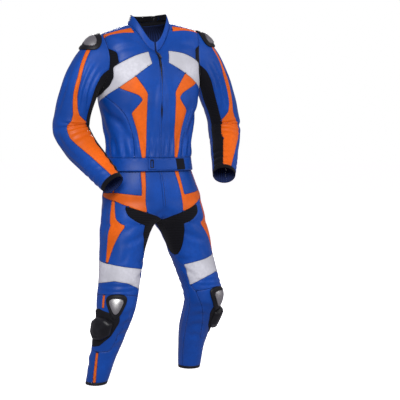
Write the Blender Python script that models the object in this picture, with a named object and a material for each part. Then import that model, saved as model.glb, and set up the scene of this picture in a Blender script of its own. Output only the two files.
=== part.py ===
"""Two-piece leather racing suit in its worn shape, hollow and open at neck, hems and cuffs.

Metres, +Z up. The front faces -Y and the wearer's left is +X. The origin lies between the
shoulders at the base of the neck, where the wearer carries the suit.

The leather is laid out on charts: torso, collar, two sleeves and two legs. A chart gives a
point of the outer face for an angle around and a place along. The cut pieces are outlines
on the charts. One skin of triangles runs through all charts, and each piece is its share
of that skin, drawn in at its seams and thickened inwards along the skin's own normals.
"""
import math

import bpy
import numpy as np
from mathutils import Matrix, Vector
from mathutils.geometry import delaunay_2d_cdt

# Driving sizes
WALL = 0.002
SEAM = 0.0003
LIFT = 0.0003
WELD = 0.0004
SPACING = 0.042
CLEAR = 0.012

NECK = 0.032
BAND_TOP = -0.500
BAND_BOTTOM = -0.552
TROUSER_TOP = -0.525
CROTCH = -0.762
TROUSER_HEM = -1.404
SLEEVE_HEAD = 0.140
CUFF_TOP = 0.562
CUFF_END = 0.580
ZIP_ANGLE = 2.4
FLY_ANGLE = 176.5
FLY_END = -0.690

SHOULDER_LEAN = 0.075
LEAN_FROM = -0.50
LEAN_TO = -0.20

ARMHOLE_MIDDLE = -0.113
ARMHOLE_HALF_HEIGHT = 0.110
ARMHOLE_HALF_ANGLE = 19.5
ARMHOLE_STEP = 15

# Rings of the torso from the jacket's hem to the neck seam
TORSO = (
    ("height", "front_height", "back_height", "half_width", "front", "back", "roundness"),
    (-0.552, -0.552, -0.552, 0.184, 0.122, 0.120, 2.2),
    (-0.500, -0.500, -0.500, 0.178, 0.115, 0.112, 2.2),
    (-0.430, -0.430, -0.430, 0.180, 0.115, 0.113, 2.2),
    (-0.340, -0.342, -0.335, 0.193, 0.122, 0.127, 2.3),
    (-0.260, -0.266, -0.252, 0.208, 0.128, 0.139, 2.4),
    (-0.200, -0.212, -0.190, 0.214, 0.128, 0.144, 2.5),
    (-0.130, -0.160, -0.118, 0.215, 0.122, 0.142, 2.6),
    (-0.065, -0.123, -0.058, 0.215, 0.112, 0.131, 2.6),
    (-0.022, -0.105, -0.018, 0.211, 0.102, 0.117, 2.5),
    (-0.002, -0.097, 0.000, 0.198, 0.095, 0.105, 2.4),
    (0.015, -0.089, 0.014, 0.150, 0.083, 0.086, 2.2),
    (NECK, -0.080, 0.028, 0.088, 0.071, 0.065, 2.0),
)

# Upper edge of the collar: height at the side, front and back, and its half sizes
COLLAR_TOP = {"side": 0.067, "front": -0.044, "back": 0.066, "half_width": 0.075, "fore": 0.064, "aft": 0.066}

# Sleeves: middle of the arm and half sizes, by the distance along from the armhole
ARM_COLUMNS = ("along", "x", "y", "z", "across", "fore")
RIGHT_ARM = (
    ARM_COLUMNS,
    (SLEEVE_HEAD, -0.296, 0.012, -0.255, 0.072, 0.070),
    (0.210, -0.312, 0.025, -0.320, 0.070, 0.068),
    (0.280, -0.318, 0.034, -0.380, 0.072, 0.070),
    (0.360, -0.300, -0.005, -0.446, 0.066, 0.065),
    (0.460, -0.260, -0.074, -0.520, 0.057, 0.057),
    (CUFF_END, -0.214, -0.150, -0.600, 0.046, 0.046),
)
LEFT_ARM = (
    ARM_COLUMNS,
    (SLEEVE_HEAD, 0.310, 0.012, -0.232, 0.072, 0.070),
    (0.210, 0.342, 0.024, -0.302, 0.068, 0.068),
    (0.280, 0.361, 0.034, -0.370, 0.067, 0.070),
    (0.360, 0.346, -0.002, -0.430, 0.062, 0.065),
    (0.460, 0.312, -0.062, -0.500, 0.054, 0.057),
    (CUFF_END, 0.274, -0.130, -0.574, 0.046, 0.046),
)

# Rings of a trouser leg: middle (spread to the side, shift of both, y and its difference
# between the legs), half sizes, and how far the leg is turned out
LEG = (
    ("height", "spread", "shift", "y", "stagger", "across", "front", "back", "turn"),
    (TROUSER_TOP, 0.000, 0.001, 0.000, 0.000, 0.168, 0.105, 0.104, 0),
    (-0.560, 0.000, 0.003, 0.000, 0.000, 0.1815, 0.112, 0.113, 0),
    (-0.610, 0.000, 0.009, 0.000, 0.000, 0.196, 0.120, 0.127, 0),
    (-0.665, 0.000, 0.014, 0.000, 0.000, 0.209, 0.122, 0.138, 0),
    (-0.710, 0.055, 0.017, 0.000, 0.000, 0.160, 0.120, 0.139, 0),
    (-0.740, 0.088, 0.019, -0.002, 0.000, 0.131, 0.114, 0.132, 0),
    (CROTCH, 0.110, 0.020, -0.003, 0.000, 0.110, 0.106, 0.122, 0),
    (-0.790, 0.126, 0.022, -0.005, 0.000, 0.102, 0.101, 0.114, 3),
    (-0.830, 0.140, 0.025, -0.008, 0.000, 0.095, 0.096, 0.106, 6),
    (-0.900, 0.156, 0.028, -0.014, 0.000, 0.089, 0.090, 0.097, 11),
    (-0.980, 0.174, 0.034, -0.022, 0.000, 0.084, 0.085, 0.088, 16),
    (-1.050, 0.189, 0.037, -0.028, 0.000, 0.082, 0.082, 0.080, 20),
    (-1.090, 0.194, 0.035, -0.030, 0.002, 0.079, 0.081, 0.077, 20),
    (-1.140, 0.198, 0.030, -0.020, 0.010, 0.072, 0.074, 0.078, 20),
    (-1.220, 0.204, 0.021, 0.010, 0.020, 0.062, 0.062, 0.075, 20),
    (-1.310, 0.216, 0.010, 0.038, 0.032, 0.052, 0.052, 0.062, 20),
    (TROUSER_HEM, 0.228, 0.002, 0.060, 0.042, 0.044, 0.047, 0.050, 20),
)

SIDES = {"left": 1, "right": -1}

COLOURS = {
    "blue": ((0.020, 0.075, 0.420), 0.42, 0.0),
    "orange": ((0.900, 0.130, 0.010), 0.42, 0.0),
    "white": ((0.780, 0.780, 0.800), 0.40, 0.0),
    "black": ((0.012, 0.012, 0.014), 0.70, 0.0),
    "silver": ((0.550, 0.550, 0.560), 0.30, 1.0),
}


# Reading the tables

def column(table, name, at):
    """A column of a table at some stations, on a smooth curve through its rows."""
    rows = np.array(sorted(table[1:]), dtype=float)
    x, y = rows[:, 0], rows[:, table[0].index(name)]
    at = np.clip(np.asarray(at, dtype=float), x[0], x[-1])
    slope = np.diff(y) / np.diff(x)
    tangent = np.concatenate(([slope[0]], (slope[:-1] + slope[1:]) / 2, [slope[-1]]))
    tangent[1:-1][slope[:-1] * slope[1:] <= 0] = 0
    i = np.clip(np.searchsorted(x, at) - 1, 0, len(x) - 2)
    step = x[i + 1] - x[i]
    t = (at - x[i]) / step
    start = (2 * t**3 - 3 * t**2 + 1) * y[i] + (t**3 - 2 * t**2 + t) * step * tangent[i]
    return start + (3 * t**2 - 2 * t**3) * y[i + 1] + (t**3 - t**2) * step * tangent[i + 1]


def ease(x, start, end):
    """From 0 at start to 1 at end, level at both."""
    t = np.clip((x - start) / (end - start), 0, 1)
    return t * t * (3 - 2 * t)


def unit(vectors):
    return vectors / np.maximum(np.linalg.norm(vectors, axis=-1, keepdims=True), 1e-12)


# The charts

def lean(x, y, z):
    """The shoulders sit a little higher on the wearer's left."""
    return np.stack([x, y, z + SHOULDER_LEAN * x * ease(z, LEAN_FROM, LEAN_TO)], axis=-1)


def torso(angle, height):
    """Angle in degrees from the centre front towards the wearer's left, height at the side."""
    sine, cosine = np.sin(np.radians(angle)), np.cos(np.radians(angle))
    ahead = cosine > 0
    width = column(TORSO, "half_width", height)
    depth = np.where(ahead, column(TORSO, "front", height), column(TORSO, "back", height))
    middle = np.where(ahead, column(TORSO, "front_height", height), column(TORSO, "back_height", height))
    power = column(TORSO, "roundness", height)
    radius = (np.abs(sine / width) ** power + np.abs(cosine / depth) ** power) ** (-1 / power)
    return lean(radius * sine, -radius * cosine, height + (middle - height) * cosine**2)


def collar(angle, rise):
    """The standing collar, from the neck seam at 0 to its upper edge at 1."""
    sine, cosine = np.sin(np.radians(angle)), np.cos(np.radians(angle))
    ahead = cosine > 0
    depth = np.where(ahead, COLLAR_TOP["fore"], COLLAR_TOP["aft"])
    middle = np.where(ahead, COLLAR_TOP["front"], COLLAR_TOP["back"])
    radius = ((sine / COLLAR_TOP["half_width"]) ** 2 + (cosine / depth) ** 2) ** -0.5
    side = COLLAR_TOP["side"]
    top = lean(radius * sine, -radius * cosine, side + (middle - side) * cosine**2)
    rise = np.asarray(rise, dtype=float)[..., None]
    return torso(angle, np.full(np.shape(angle), NECK)) * (1 - rise) + top * rise


def armhole_place(angle):
    """Torso angle and height of a point of the left armhole, 0 at the shoulder, 90 in front."""
    turn = np.radians(angle)
    around = 90 - ARMHOLE_HALF_ANGLE * np.sin(turn)
    return around, ARMHOLE_MIDDLE + ARMHOLE_HALF_HEIGHT * np.cos(turn)


def arm_ring(side, angle, along):
    """A ring of the sleeve square to the arm, 0 outside, 90 in front, 180 inside."""
    table = LEFT_ARM if side > 0 else RIGHT_ARM

    def middle(at):
        return np.stack([column(table, axis, at) for axis in "xyz"], axis=-1)

    near = 0.045
    down = unit(middle(along + near) - middle(along - near))
    outward = unit(np.array([side, 0.0, 0.0]) - down * (down[..., 0:1] * side))
    ahead = np.cross(down, outward) * side
    turn = np.radians(angle)[..., None]
    across = column(table, "across", along)[..., None]
    fore = column(table, "fore", along)[..., None]
    return middle(along) + outward * across * np.cos(turn) + ahead * fore * np.sin(turn)


def sleeve(side, angle, along):
    """The sleeve leaves the armhole sideways and turns down into the arm's rings."""
    angle, along = np.broadcast_arrays(np.asarray(angle, float), np.asarray(along, float))
    around, height = armhole_place(angle)
    start = torso(side * around, height)
    end = arm_ring(side, angle, np.full_like(along, SLEEVE_HEAD))
    beyond = arm_ring(side, angle, np.full_like(along, SLEEVE_HEAD + 0.01))
    reach = np.linalg.norm(end - start, axis=-1, keepdims=True)
    dip = -0.35 - 0.25 * (1 - np.cos(np.radians(angle)))
    leave = unit(np.stack([np.full_like(dip, side), np.zeros_like(dip), dip], axis=-1)) * reach
    arrive = unit(beyond - end) * reach
    t = np.clip(along / SLEEVE_HEAD, 0, 1)[..., None]
    head = (2 * t**3 - 3 * t**2 + 1) * start + (t**3 - 2 * t**2 + t) * leave
    head = head + (3 * t**2 - 2 * t**3) * end + (t**3 - t**2) * arrive
    below = arm_ring(side, angle, np.maximum(along, SLEEVE_HEAD))
    return np.where((along < SLEEVE_HEAD)[..., None], head, below)


def leg(side, angle, height):
    """0 outside, 90 in front, 180 and -180 at the centre seam and, below it, the inseam."""
    spread, across = column(LEG, "spread", height), column(LEG, "across", height)
    seam = np.where(height < CROTCH, math.pi, np.arccos(np.clip(-spread / across, -1, 1)))
    turn = np.asarray(angle) / 180 * seam
    depth = np.where(turn > 0, column(LEG, "front", height), column(LEG, "back", height))
    x, y = across * np.cos(turn), -depth * np.sin(turn)
    out = np.radians(column(LEG, "turn", height))
    x, y = x * np.cos(out) - y * np.sin(out), x * np.sin(out) + y * np.cos(out)
    x = column(LEG, "shift", height) + side * (spread + x)
    y = y + column(LEG, "y", height) + side * column(LEG, "stagger", height)
    return np.stack([x, y, np.broadcast_to(height, x.shape)], axis=-1)


# Outlines of the cut pieces, as (angle, place along) on their charts

def armhole_edge(start, end):
    """Torso places along the left armhole."""
    step = ARMHOLE_STEP if end > start else -ARMHOLE_STEP
    return [tuple(float(c) for c in armhole_place(a)) for a in range(start, end + step, step)]


def mirrored(outline):
    """The same torso outline on the wearer's right."""
    return [(360 - angle, height) for angle, height in outline]


def both_sides(name, outline):
    return [(name + "_left", outline), (name + "_right", mirrored(outline))]


def box(low_angle, high_angle, low, high):
    return [(low_angle, low), (high_angle, low), (high_angle, high), (low_angle, high)]


CHEST_BAND = [(24, -0.004), (35, -0.040), (60, -0.112), (67, -0.128), (75, -0.200), (108, -0.256),
              (104, -0.277), (80, -0.250), (62, -0.216), (46, -0.175), (17, -0.087)]
CHEST_INSERT = [(43, -0.160), (64, -0.205), (58, -0.220), (38, -0.247), (33, -0.265), (38, -0.284),
                (49, -0.320), (43, -0.395), (36, BAND_TOP), (30, BAND_TOP), (26, -0.270), (25, -0.240)]
FRONT_GUSSET = [(64, -0.068), (61, -0.116), (67, -0.130), (66, -0.172), (71, -0.205), (84, -0.236),
                (104, -0.250)] + armhole_edge(210, 60)
SHOULDER_STRIPE = [(58, 0.0265), (71, 0.0295), (75, 0.014), (81, -0.007)] + armhole_edge(30, 45) + [
    (76, -0.012), (68, 0.010)]
BACK_BAND = armhole_edge(300, 210) + [(104, -0.272), (118, -0.236), (134, -0.168), (141, -0.104), (129, -0.052)]
BACK_INSERT = [(141, -0.125), (129, -0.190), (145, -0.216), (149, -0.232), (146, -0.247), (135, -0.266),
               (148, -0.452), (154, -0.462), (157, -0.452), (156, -0.225), (153, -0.205)]
HUMP = [(131, 0.012), (150, 0.020), (180, 0.022), (210, 0.020), (229, 0.012), (219, -0.020), (210, -0.060),
        (198, -0.105), (189, -0.130), (180, -0.137), (171, -0.130), (162, -0.105), (150, -0.060), (141, -0.020)]
LOOP = box(334.0, 347.5, -0.546, -0.501)
LOOP_SLOT = box(338.5, 343.0, -0.538, -0.509)

TORSO_PIECES = (
    [("front_zip", box(0, ZIP_ANGLE, BAND_TOP, NECK)), ("front_zip", box(360 - ZIP_ANGLE, 360, BAND_TOP, NECK))]
    + both_sides("shoulder_stripe", SHOULDER_STRIPE)
    + both_sides("sleeve_stretch", FRONT_GUSSET)
    + both_sides("chest_band", CHEST_BAND)
    + [("back_elastic", box(142, 218, -0.542, -0.511))]
    + [("waistband", box(0, 360, BAND_BOTTOM, BAND_TOP))]
    + both_sides("chest_insert", CHEST_INSERT)
    + both_sides("back_band", BACK_BAND)
    + both_sides("back_insert", BACK_INSERT)
    + both_sides("jacket_yoke", [(0, NECK), (60, NECK), (64, 0.024), (79, -0.010), (80, -0.140), (0, -0.140)])
    + both_sides("jacket_front", [(0, -0.060), (30, -0.100), (50, -0.180), (29, -0.255), (29, -0.290),
                                  (33, BAND_TOP), (0, BAND_TOP)])
    + both_sides("jacket_side", [(40, -0.190), (60, -0.180), (96, -0.240), (96, BAND_TOP), (33, BAND_TOP),
                                 (29, -0.290), (29, -0.255)])
    + [("jacket_back", box(0, 360, BAND_TOP, NECK))]
)
TORSO_TRIM = [
    ("back_hump", HUMP),
    ("belt_loop_slot", LOOP_SLOT),
    ("belt_loop", LOOP),
    ("belt_strap", box(0, 48, -0.549, -0.503)),
    ("belt_strap", box(348.0, 360, -0.549, -0.503)),
]

SLEEVE_INSERT = [(24, 0.040), (48, 0.100), (58, 0.160), (71, 0.215), (70, 0.245), (54, 0.305), (42, 0.350),
                 (52, 0.430), (72, CUFF_TOP), (116, CUFF_TOP), (118, 0.410), (127, 0.385), (127, 0.300),
                 (124, 0.240), (92, 0.212), (80, 0.185), (70, 0.150), (60, 0.100), (37, 0.040)]
SLEEVE_STRETCH = [(105, 0.0), (104, 0.035), (117, 0.107), (124, 0.206), (124, 0.240), (127, 0.300),
                  (127, 0.385), (118, 0.410), (116, CUFF_TOP), (172, CUFF_TOP), (172, 0.340), (168, 0.200),
                  (165, 0.0)]
ELBOW_PATCH = [(-112, 0.226), (-96, 0.214), (-54, 0.214), (-38, 0.226), (-42, 0.243), (-75, 0.252), (-108, 0.243)]
SHOULDER_CUP = [(-34, 0.005), (0, 0.004), (34, 0.005), (52, 0.017), (46, 0.033), (16, 0.055), (-16, 0.055),
                (-46, 0.033), (-52, 0.017)]
ELBOW_CUP = [(-106, 0.268), (-44, 0.268), (-34, 0.280), (-58, 0.325), (-75, 0.332), (-92, 0.325), (-116, 0.280)]

SLEEVE_PIECES = [
    ("cuff", box(-180, 180, CUFF_TOP, CUFF_END)),
    ("sleeve_insert", SLEEVE_INSERT),
    ("sleeve_stretch", SLEEVE_STRETCH),
    ("elbow_patch", ELBOW_PATCH),
    ("sleeve", box(-180, 180, 0, CUFF_END)),
]
SLEEVE_TRIM = [("shoulder_cup", SHOULDER_CUP), ("elbow_cup", ELBOW_CUP)]

HIP_INSERT = [(139, TROUSER_TOP), (136, -0.655), (133, -0.715), (60, -0.672), (0, -0.656), (-12, -0.653),
              (-12, -0.641), (0, -0.639), (60, -0.637), (127, -0.648), (125, TROUSER_TOP)]
THIGH_INSERT = [(42, -0.666), (54, -0.669), (50, -0.738), (62, -0.772), (50, -0.850), (43, -0.906),
                (37, -0.902), (33, -0.830), (32, -0.745)]
FRONT_CROTCH = [(82, -0.684), (133, -0.715), (180, -0.748), (180, -0.897), (166, -0.897), (148, -0.872),
                (130, -0.830), (110, -0.778), (98, -0.748), (83, -0.722)]
BACK_CROTCH = [(-180, -0.755), (-168, -0.800), (-158, -0.840), (-160, -0.875), (-170, -0.893), (-180, -0.897)]
SEAT_INSERT = [(-141, -0.585), (-150, -0.698), (-180, -0.712), (-180, -0.728), (-150, -0.722), (-116, -0.625),
               (-133, -0.585)]
KNEE_BAND = [(-8, -0.888), (50, -0.905), (158, -0.935), (167, -1.022), (105, -0.986), (69, -0.976), (-8, -0.990)]
CALF_STRETCH = [(-62, -0.985), (-90, -0.968), (-128, -0.970), (-138, -1.000), (-128, -1.100), (-110, -1.200),
                (-104, TROUSER_HEM), (-80, TROUSER_HEM), (-78, -1.200), (-66, -1.110), (-48, -1.045), (-48, -1.010)]
KNEE_CUP = [(62, -1.034), (85, -1.031), (108, -1.034), (118, -1.048), (98, -1.122), (88, -1.134), (78, -1.122),
            (53, -1.048)]
SLIDER_PATCH = [(-14, -1.105), (30, -1.090), (100, -1.112), (106, -1.140), (90, -1.200), (58, -1.240),
                (20, -1.250), (-16, -1.222), (-24, -1.150)]
SLIDER_PUCK = [(6, -1.140), (30, -1.122), (62, -1.122), (86, -1.142), (86, -1.190), (64, -1.215), (30, -1.218),
               (6, -1.194)]

LEG_PIECES = [
    ("fly_zip", box(FLY_ANGLE, 180, FLY_END, TROUSER_TOP)),
    ("lumbar_band", [(-28, TROUSER_TOP), (-28, -0.583), (-120, -0.592), (-180, -0.598), (-180, TROUSER_TOP)]),
    ("hip_insert", HIP_INSERT),
    ("thigh_insert", THIGH_INSERT),
    ("crotch_gusset", FRONT_CROTCH),
    ("crotch_gusset", BACK_CROTCH),
    ("seat_insert", SEAT_INSERT),
    ("knee_band", KNEE_BAND),
    ("calf_stretch", CALF_STRETCH),
    ("fly_panel", [(130, TROUSER_TOP), (180, TROUSER_TOP), (180, -0.760), (130, -0.720)]),
    ("seat_panel", [(-140, -0.580), (-180, -0.580), (-180, -0.720), (-150, -0.715)]),
    ("trousers", box(-180, 180, TROUSER_HEM, TROUSER_TOP)),
]
LEG_TRIM = [("knee_cup", KNEE_CUP), ("knee_slider", SLIDER_PATCH)]

COLLAR_PIECES = [("collar", box(ZIP_ANGLE, 360 - ZIP_ANGLE, 0, 1))]

# Pieces that run across both legs are one piece
SHARED = {"fly_zip", "lumbar_band", "crotch_gusset", "seat_insert", "fly_panel", "seat_panel"}

# Hard pieces and the belt: height over the leather by share of the way from middle to edge
RELIEF = {
    "back_hump": ((0.00, 0.046), (0.45, 0.040), (0.80, 0.022), (1.00, 0.004)),
    "belt_loop": ((0.00, 0.005), (1.00, 0.005)),
    "belt_strap": ((0.00, 0.0035), (1.00, 0.0035)),
    "shoulder_cup": ((0.00, 0.016), (0.60, 0.014), (0.70, 0.008), (1.00, 0.003)),
    "elbow_cup": ((0.00, 0.013), (0.60, 0.011), (0.70, 0.007), (1.00, 0.003)),
    "knee_cup": ((0.00, 0.018), (0.60, 0.015), (0.70, 0.008), (1.00, 0.003)),
    "knee_slider": ((0.00, 0.027), (0.75, 0.024), (1.00, 0.005)),
}
RELIEF_OUTLINE = {
    "back_hump": ((180, -0.045), HUMP),
    "shoulder_cup": ((0, 0.025), SHOULDER_CUP),
    "elbow_cup": ((-75, 0.294), ELBOW_CUP),
    "knee_cup": ((86, -1.072), KNEE_CUP),
    "knee_slider": ((46, -1.170), SLIDER_PUCK),
}

PIECE_COLOUR = {
    "orange": ("shoulder_stripe", "chest_insert", "back_insert", "sleeve_insert", "hip_insert", "thigh_insert",
               "seat_insert"),
    "white": ("chest_band", "back_band", "elbow_patch", "lumbar_band", "knee_band", "back_hump"),
    "black": ("front_zip", "sleeve_stretch", "back_elastic", "cuff", "crotch_gusset", "calf_stretch", "fly_zip",
              "shoulder_cup", "elbow_cup", "knee_cup", "knee_slider", "belt_loop"),
    "silver": ("zip_slider", "zip_pull"),
}

# Rows and columns of plain leather between the outlines
TORSO_ROWS = (-0.552, -0.500, -0.455, -0.410, -0.360, -0.310, -0.265, -0.225, -0.185, -0.145, -0.105, -0.070,
              -0.040, -0.018, 0.000, 0.015, NECK)
SLEEVE_ROWS = (0, 0.035, 0.070, 0.105, SLEEVE_HEAD, 0.180, 0.220, 0.260, 0.300, 0.340, 0.390, 0.445, 0.505,
               CUFF_TOP, CUFF_END)
LEG_ROWS = (TROUSER_TOP, -0.560, -0.600, -0.640, -0.680, -0.715, -0.742, CROTCH, -0.795, -0.835, -0.880, -0.930,
            -0.980, -1.030, -1.080, -1.130, -1.185, -1.250, -1.325, TROUSER_HEM)
CHARTS = {
    "torso": {"columns": range(0, 361, 15), "edge": (), "metric": 0.0028, "rows": TORSO_ROWS},
    "collar": {"columns": (ZIP_ANGLE, *range(15, 346, 15), 360 - ZIP_ANGLE), "edge": (), "metric": 0.0014,
               "rows": (0, 1)},
    "sleeve": {"columns": range(-180, 181, 30), "edge": range(-180, 181, ARMHOLE_STEP), "metric": 0.0011,
               "rows": SLEEVE_ROWS},
    "leg": {"columns": range(-180, 181, 30), "edge": (), "metric": 0.0015, "rows": LEG_ROWS},
}


# Laying out a chart

def inside(outline, x, y):
    """Whether points of a chart lie in an outline."""
    found = np.zeros(len(x), dtype=bool)
    for (x0, y0), (x1, y1) in zip(outline, outline[1:] + outline[:1]):
        if y0 == y1:
            continue
        crosses = (y0 > y) != (y1 > y)
        found ^= crosses & (x < (x1 - x0) * (y - y0) / (y1 - y0) + x0)
    return found


def scaled(outline, middle, share):
    return [(middle[0] + share * (a - middle[0]), middle[1] + share * (b - middle[1])) for a, b in outline]


def relief_rings(name):
    """Inner outlines of a raised piece, so that its top has points to rise on."""
    if name not in RELIEF_OUTLINE:
        return []
    middle, outline = RELIEF_OUTLINE[name]
    first = 1.0 if name == "knee_slider" else 0.99
    return [scaled(outline, middle, share) for share, _ in RELIEF[name] if 0 < share <= first]


def relief_height(name, places):
    """Height of a raised piece over the leather at some chart places."""
    shares, heights = zip(*RELIEF[name])
    if name not in RELIEF_OUTLINE:
        return np.full(len(places), heights[0])
    middle, outline = RELIEF_OUTLINE[name]
    share = np.zeros(len(places))
    dx, dy = places[:, 0] - middle[0], places[:, 1] - middle[1]
    for (x0, y0), (x1, y1) in zip(outline, outline[1:] + outline[:1]):
        ax, ay, bx, by = x0 - middle[0], y0 - middle[1], x1 - x0, y1 - y0
        area = ax * by - ay * bx
        share = np.maximum(share, (dx * by - dy * bx) / area)
    return np.interp(share, shares, heights)


def cut_up(outline, chart):
    """Stretches of the outline in steps that follow the body's curve, but for the chart's border."""
    left, right = chart["columns"][0], chart["columns"][-1]
    bottom, top = chart["rows"][0], chart["rows"][-1]
    stretches = []
    for (x0, y0), (x1, y1) in zip(outline, outline[1:] + outline[:1]):
        if x0 == x1 and x0 in (left, right) or y0 == y1 and y0 in (bottom, top):
            continue
        count = max(1, math.ceil(math.hypot((x1 - x0) * chart["metric"], y1 - y0) / SPACING))
        stretches.append([(x0 + (x1 - x0) * k / count, y0 + (y1 - y0) * k / count) for k in range(count + 1)])
    return stretches


def far_from(point, starts, ends, limit):
    """Whether a point keeps its distance from every stretch of the outlines."""
    along = ends - starts
    share = ((point - starts) * along).sum(axis=1) / np.maximum((along**2).sum(axis=1), 1e-12)
    nearest = starts + along * np.clip(share, 0, 1)[:, None]
    return np.min(np.linalg.norm(point - nearest, axis=1)) > limit


def frame_points(chart, outlines):
    """The chart's border, with a point wherever an outline meets a cut."""
    columns, rows = chart["columns"], chart["rows"]
    low, high = columns[0], columns[-1]
    cuts = set(rows)
    ends = {rows[0]: {*columns, *chart["edge"]}, rows[-1]: set(columns)}
    for outline in outlines:
        for angle, along in outline:
            if angle in (low, high):
                cuts.add(along)
            if along in ends:
                ends[along].add(angle)
    cuts = sorted(cuts)
    border = [(low, place) for place in cuts] + [(angle, cuts[-1]) for angle in sorted(ends[cuts[-1]])]
    border += [(high, place) for place in reversed(cuts)]
    border += [(angle, cuts[0]) for angle in sorted(ends[cuts[0]], reverse=True)]
    return border


def lay_out(chart, pieces, trim, holes=()):
    """Triangles of a chart, the piece that each belongs to and the trim that lies on it."""
    metric = chart["metric"]
    outlines = [outline for _, outline in pieces + trim]
    border = frame_points(chart, outlines)
    lines = [loop + loop[:1] for loop in (border, *holes)]
    for name in dict.fromkeys(name for name, _ in trim):
        outlines += relief_rings(name)
    for outline in outlines:
        lines += cut_up(outline, chart)
    points, edges = [], []
    for line in lines:
        edges += [(len(points) + k, len(points) + k + 1) for k in range(len(line) - 1)]
        points += [(angle * metric, along) for angle, along in line]
    starts = np.array([points[a] for a, _ in edges])
    ends = np.array([points[b] for _, b in edges])
    columns = np.array(chart["columns"], dtype=float)
    between = (columns[1:] + columns[:-1]) / 2
    for j, along in enumerate(chart["rows"][1:-1]):
        for angle in between if j % 2 else columns[1:-1]:
            point = np.array([angle * metric, along])
            if far_from(point, starts, ends, CLEAR):
                points.append(tuple(point))
    flat, _, triangles = delaunay_2d_cdt([Vector(p) for p in points], edges, [], 0, 1e-6)[:3]
    places = np.array([(v[0] / metric, v[1]) for v in flat])
    triangles = np.array([t for t in triangles if len(t) == 3])
    middles = places[triangles].mean(axis=1)
    x, y = middles[:, 0], middles[:, 1]
    low, high = min(chart["rows"]), max(chart["rows"])
    left, right = columns[0], columns[-1]
    corners = places[triangles]
    ab, ac = corners[:, 1] - corners[:, 0], corners[:, 2] - corners[:, 0]
    area = np.abs(ab[:, 0] * ac[:, 1] - ab[:, 1] * ac[:, 0]) * metric / 2
    kept = (y > low) & (y < high) & (x > left) & (x < right) & (area > 1e-8)
    for hole in holes:
        kept &= ~inside(list(hole), x, y)
    triangles, x, y = triangles[kept], x[kept], y[kept]
    return places, triangles, owners(pieces, x, y), owners(trim, x, y)


def owners(pieces, x, y):
    """The first piece that holds each point, or an empty name."""
    names = np.full(len(x), "", dtype=object)
    for name, outline in pieces:
        names[(names == "") & inside(outline, x, y)] = name
    return names


# The skin

class Skin:
    """All triangles of the leather's outer face, with points shared between charts."""

    def __init__(self):
        self.points = np.zeros((0, 3))
        self.places = np.zeros((0, 2))
        self.triangles = np.zeros((0, 3), dtype=int)
        self.pieces = np.zeros(0, dtype=object)
        self.trim = np.zeros(0, dtype=object)

    def add(self, surface, layout, suffix="", turned=False):
        places, triangles, pieces, trim = layout
        if turned:
            triangles = triangles[:, ::-1]
        self.triangles = np.concatenate([self.triangles, triangles + len(self.points)])
        self.points = np.concatenate([self.points, surface(places[:, 0], places[:, 1])])
        self.places = np.concatenate([self.places, places])
        self.pieces = np.concatenate([self.pieces, [side_name(name, suffix) for name in pieces]])
        self.trim = np.concatenate([self.trim, [side_name(name, suffix) for name in trim]])

    def weld(self):
        """Points of neighbouring charts that meet become one point."""
        index = {}
        target = np.zeros(len(self.points), dtype=int)
        for i, point in enumerate(self.points):
            key = tuple(np.round(point / WELD).astype(int))
            near = [(key[0] + a, key[1] + b, key[2] + c) for a in (-1, 0, 1) for b in (-1, 0, 1) for c in (-1, 0, 1)]
            match = next((index[k] for k in near if k in index
                          and np.linalg.norm(self.points[index[k]] - point) < WELD), i)
            target[i] = match
            if match == i:
                index[key] = i
        self.triangles = target[self.triangles]
        whole = [len(set(t)) == 3 for t in self.triangles]
        self.triangles = self.triangles[whole]
        self.pieces, self.trim = self.pieces[whole], self.trim[whole]

    def set_normals(self):
        corners = self.points[self.triangles]
        facing = np.cross(corners[:, 1] - corners[:, 0], corners[:, 2] - corners[:, 0])
        facing = unit(facing)
        normals = np.zeros_like(self.points)
        for k in range(3):
            a = unit(corners[:, (k + 1) % 3] - corners[:, k])
            b = unit(corners[:, (k + 2) % 3] - corners[:, k])
            corner = np.arccos(np.clip((a * b).sum(axis=1), -1, 1))
            np.add.at(normals, self.triangles[:, k], facing * corner[:, None])
        self.normals = unit(normals)


def side_name(name, suffix):
    if not name or not suffix or name in SHARED:
        return name
    return name + suffix


def own_corners(triangles):
    """Corner numbers of one piece, with a point doubled where only tips of it touch."""
    fans = {}
    parent = list(range(len(triangles) * 3))

    def root(i):
        while parent[i] != i:
            i = parent[i]
        return i

    for t, corners in enumerate(triangles):
        for k in range(3):
            edge = (corners[k], corners[(k + 1) % 3])
            other = fans.pop((edge[1], edge[0]), None)
            if other is None:
                fans[edge] = (t * 3 + k, t * 3 + (k + 1) % 3)
                continue
            parent[root(t * 3 + k)] = root(other[1])
            parent[root(t * 3 + (k + 1) % 3)] = root(other[0])
    roots = {}
    numbers = np.array([roots.setdefault(root(i), len(roots)) for i in range(len(parent))]).reshape(-1, 3)
    sources = np.zeros(len(roots), dtype=int)
    sources[numbers.ravel()] = np.asarray(triangles).ravel()
    return numbers, sources


def border_edges(triangles):
    """Edges of a piece that no second triangle of it shares, in the triangles' sense."""
    edges = {(a, b) for t in triangles for a, b in ((t[0], t[1]), (t[1], t[2]), (t[2], t[0]))}
    return [edge for edge in edges if (edge[1], edge[0]) not in edges]


def drawn_in(points, normals, edges, distance):
    """Border points moved into the piece, square to its edges."""
    inward = {}
    for a, b in edges:
        for i in (a, b):
            inward.setdefault(i, []).append(unit(np.cross(normals[i], points[b] - points[a])))
    moved = points.copy()
    for i, ways in inward.items():
        way = sum(ways)
        spread = max(float(way @ ways[0]), 0.35)
        moved[i] = points[i] + way * (distance / spread)
    return moved


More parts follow.
